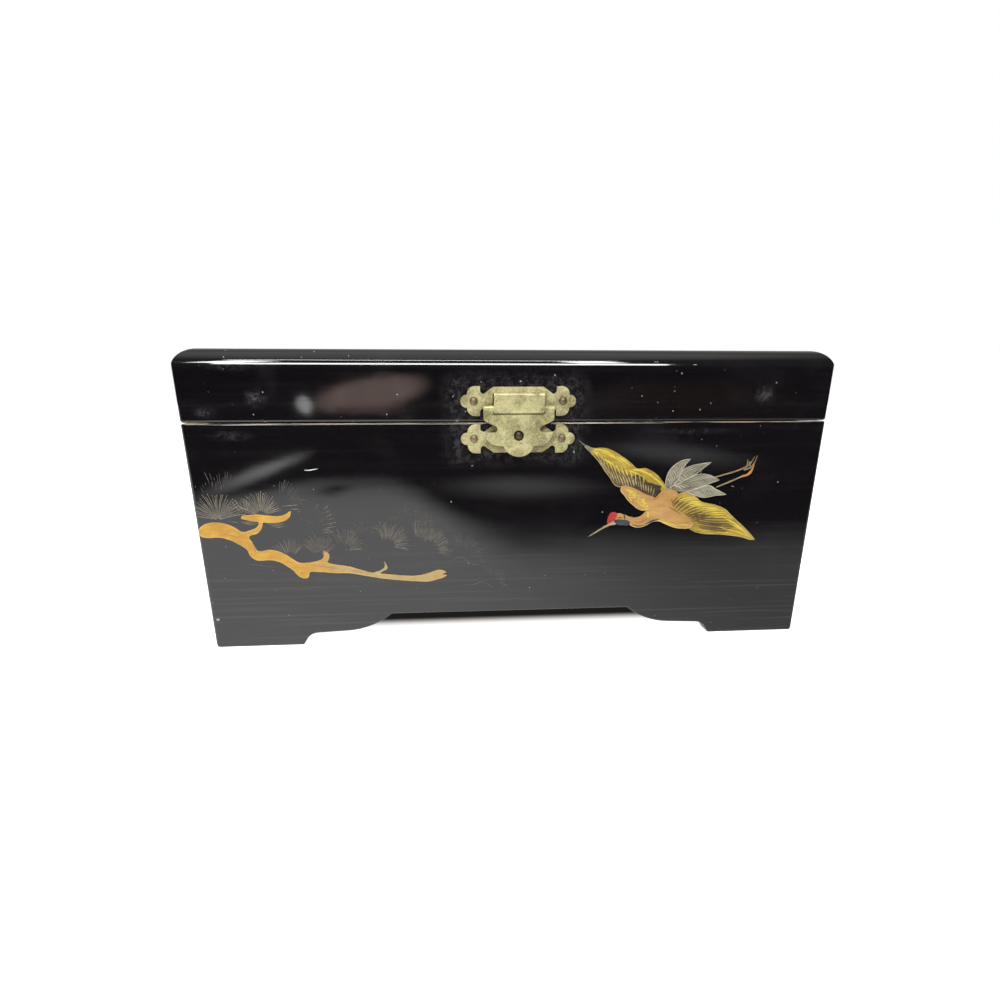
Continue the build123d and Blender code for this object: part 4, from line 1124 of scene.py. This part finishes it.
# %% Crane's tail and legs
tail_feathers = [
    [(68.4, 74.8), (69.4, 79), (71.8, 82), (75, 84), (79, 84.8, SHARP), (76.8, 82), (75.4, 79), (74.2, 76),
     (72, 73), (69.4, 71.6)],
    [(72.6, 74), (75.6, 79.4), (79, 81.5), (83, 82.4), (88.6, 83.2, SHARP), (85, 80.4), (82, 77.8),
     (78, 75.4), (73.6, 72.4)],
    [(70.8, 72.4), (74.6, 73.6), (78.6, 76.2), (83, 77.8), (88, 77.7), (93.4, 75.2, SHARP), (90, 74),
     (86, 72.6), (81, 71), (72, 69.8)],
    [(78.6, 70.2), (83.6, 71.4), (88.6, 72.8), (92.6, 70.9), (97.6, 68.5, SHARP), (92.4, 68.2), (87, 67.3),
     (82.6, 68.5)],
]
painted("crane_tail", tail_silver, 1, shapes=[tail_feathers[0], tail_feathers[2]])
painted("crane_tail_over", tail_silver, 2, shapes=[tail_feathers[1], tail_feathers[3]])
quills = touches(
    (70.4, 74, 77.2, 83.4, 0.5, 0.06), (74.8, 75.4, 85.6, 82.2, 0.5, 0.06), (76.6, 73, 90.4, 75.6, 0.5, 0.05),
    (82, 69.8, 94.6, 69.2, 0.5, 0.05), (71.6, 73.2, 74.6, 77.4, 0.9), (74.6, 72.6, 79.4, 76.2, 0.9),
    (76.4, 71.4, 82.4, 72.4, 0.9), (77.4, 71, 84.8, 71.2, 0.6), (84, 77.4, 84.8, 79.8, 0.5),
    (75.6, 79.6, 77.4, 82.8, 0.4),
)
painted("crane_quills", tail_shade, 3, quills)
feather_lines = []
for feather in tail_feathers:
    half = len(feather) // 2
    sides = (feather[:half], feather[:half - 1:-1])
    feather_lines += hatch(sides, 12, 0.24, 0.1, 0.95, 0.1, loose=0.3, reach=(0.1, 0.9))
    feather_lines.append(outline(feather, 0.3))
painted("crane_tail_lines", tail_bright, 3.6, feather_lines)
legs = [
    [(90.6, 76.3, 0.55), (96, 77.8, 0.7), (101, 79.2, 0.7), (105.4, 81, 0.8)],
    [(92.4, 72, 0.55), (97, 73.8, 0.7), (102, 75.9, 0.7), (105, 77.2, 1.0)],
    [(105.4, 81, 0.9), (105.8, 82.4, 0.7), (105.6, 84.2, 0.3)],
    [(105, 80.6, 0.8), (107, 82.4, 0.8), (108.8, 85.6, 0.3)],
    [(104.4, 79.6, 0.8), (107.4, 80.8, 0.8), (109.2, 83.4, 0.5), (109.9, 86, 0.3)],
    [(106.6, 83.4, 0.5), (107.2, 81.6, 0.6), (107.8, 80.2, 0.6)],
]
knee = [(104, 76.8, 0.6), (106.4, 77.5, 1.1), (107.8, 78.8, 1.2), (108.5, 80.4, 0.8), (109, 82.2, 0.4)]
painted("crane_legs", leg_tan, 2, legs)
painted("crane_foot", foot_orange, 3, [knee])
scratch = [(-91.2, 81.6, 0.2), (-89, 81.5, 0.42), (-87.4, 81.8, 0.36), (-85.4, 82.1, 0.15)]
painted("loose_streak", scratch_white, 1, [scratch])
painted("loose_speck", needle_middle, 1, touches((99.4, 72.5, 100.8, 72.1, 0.6)))
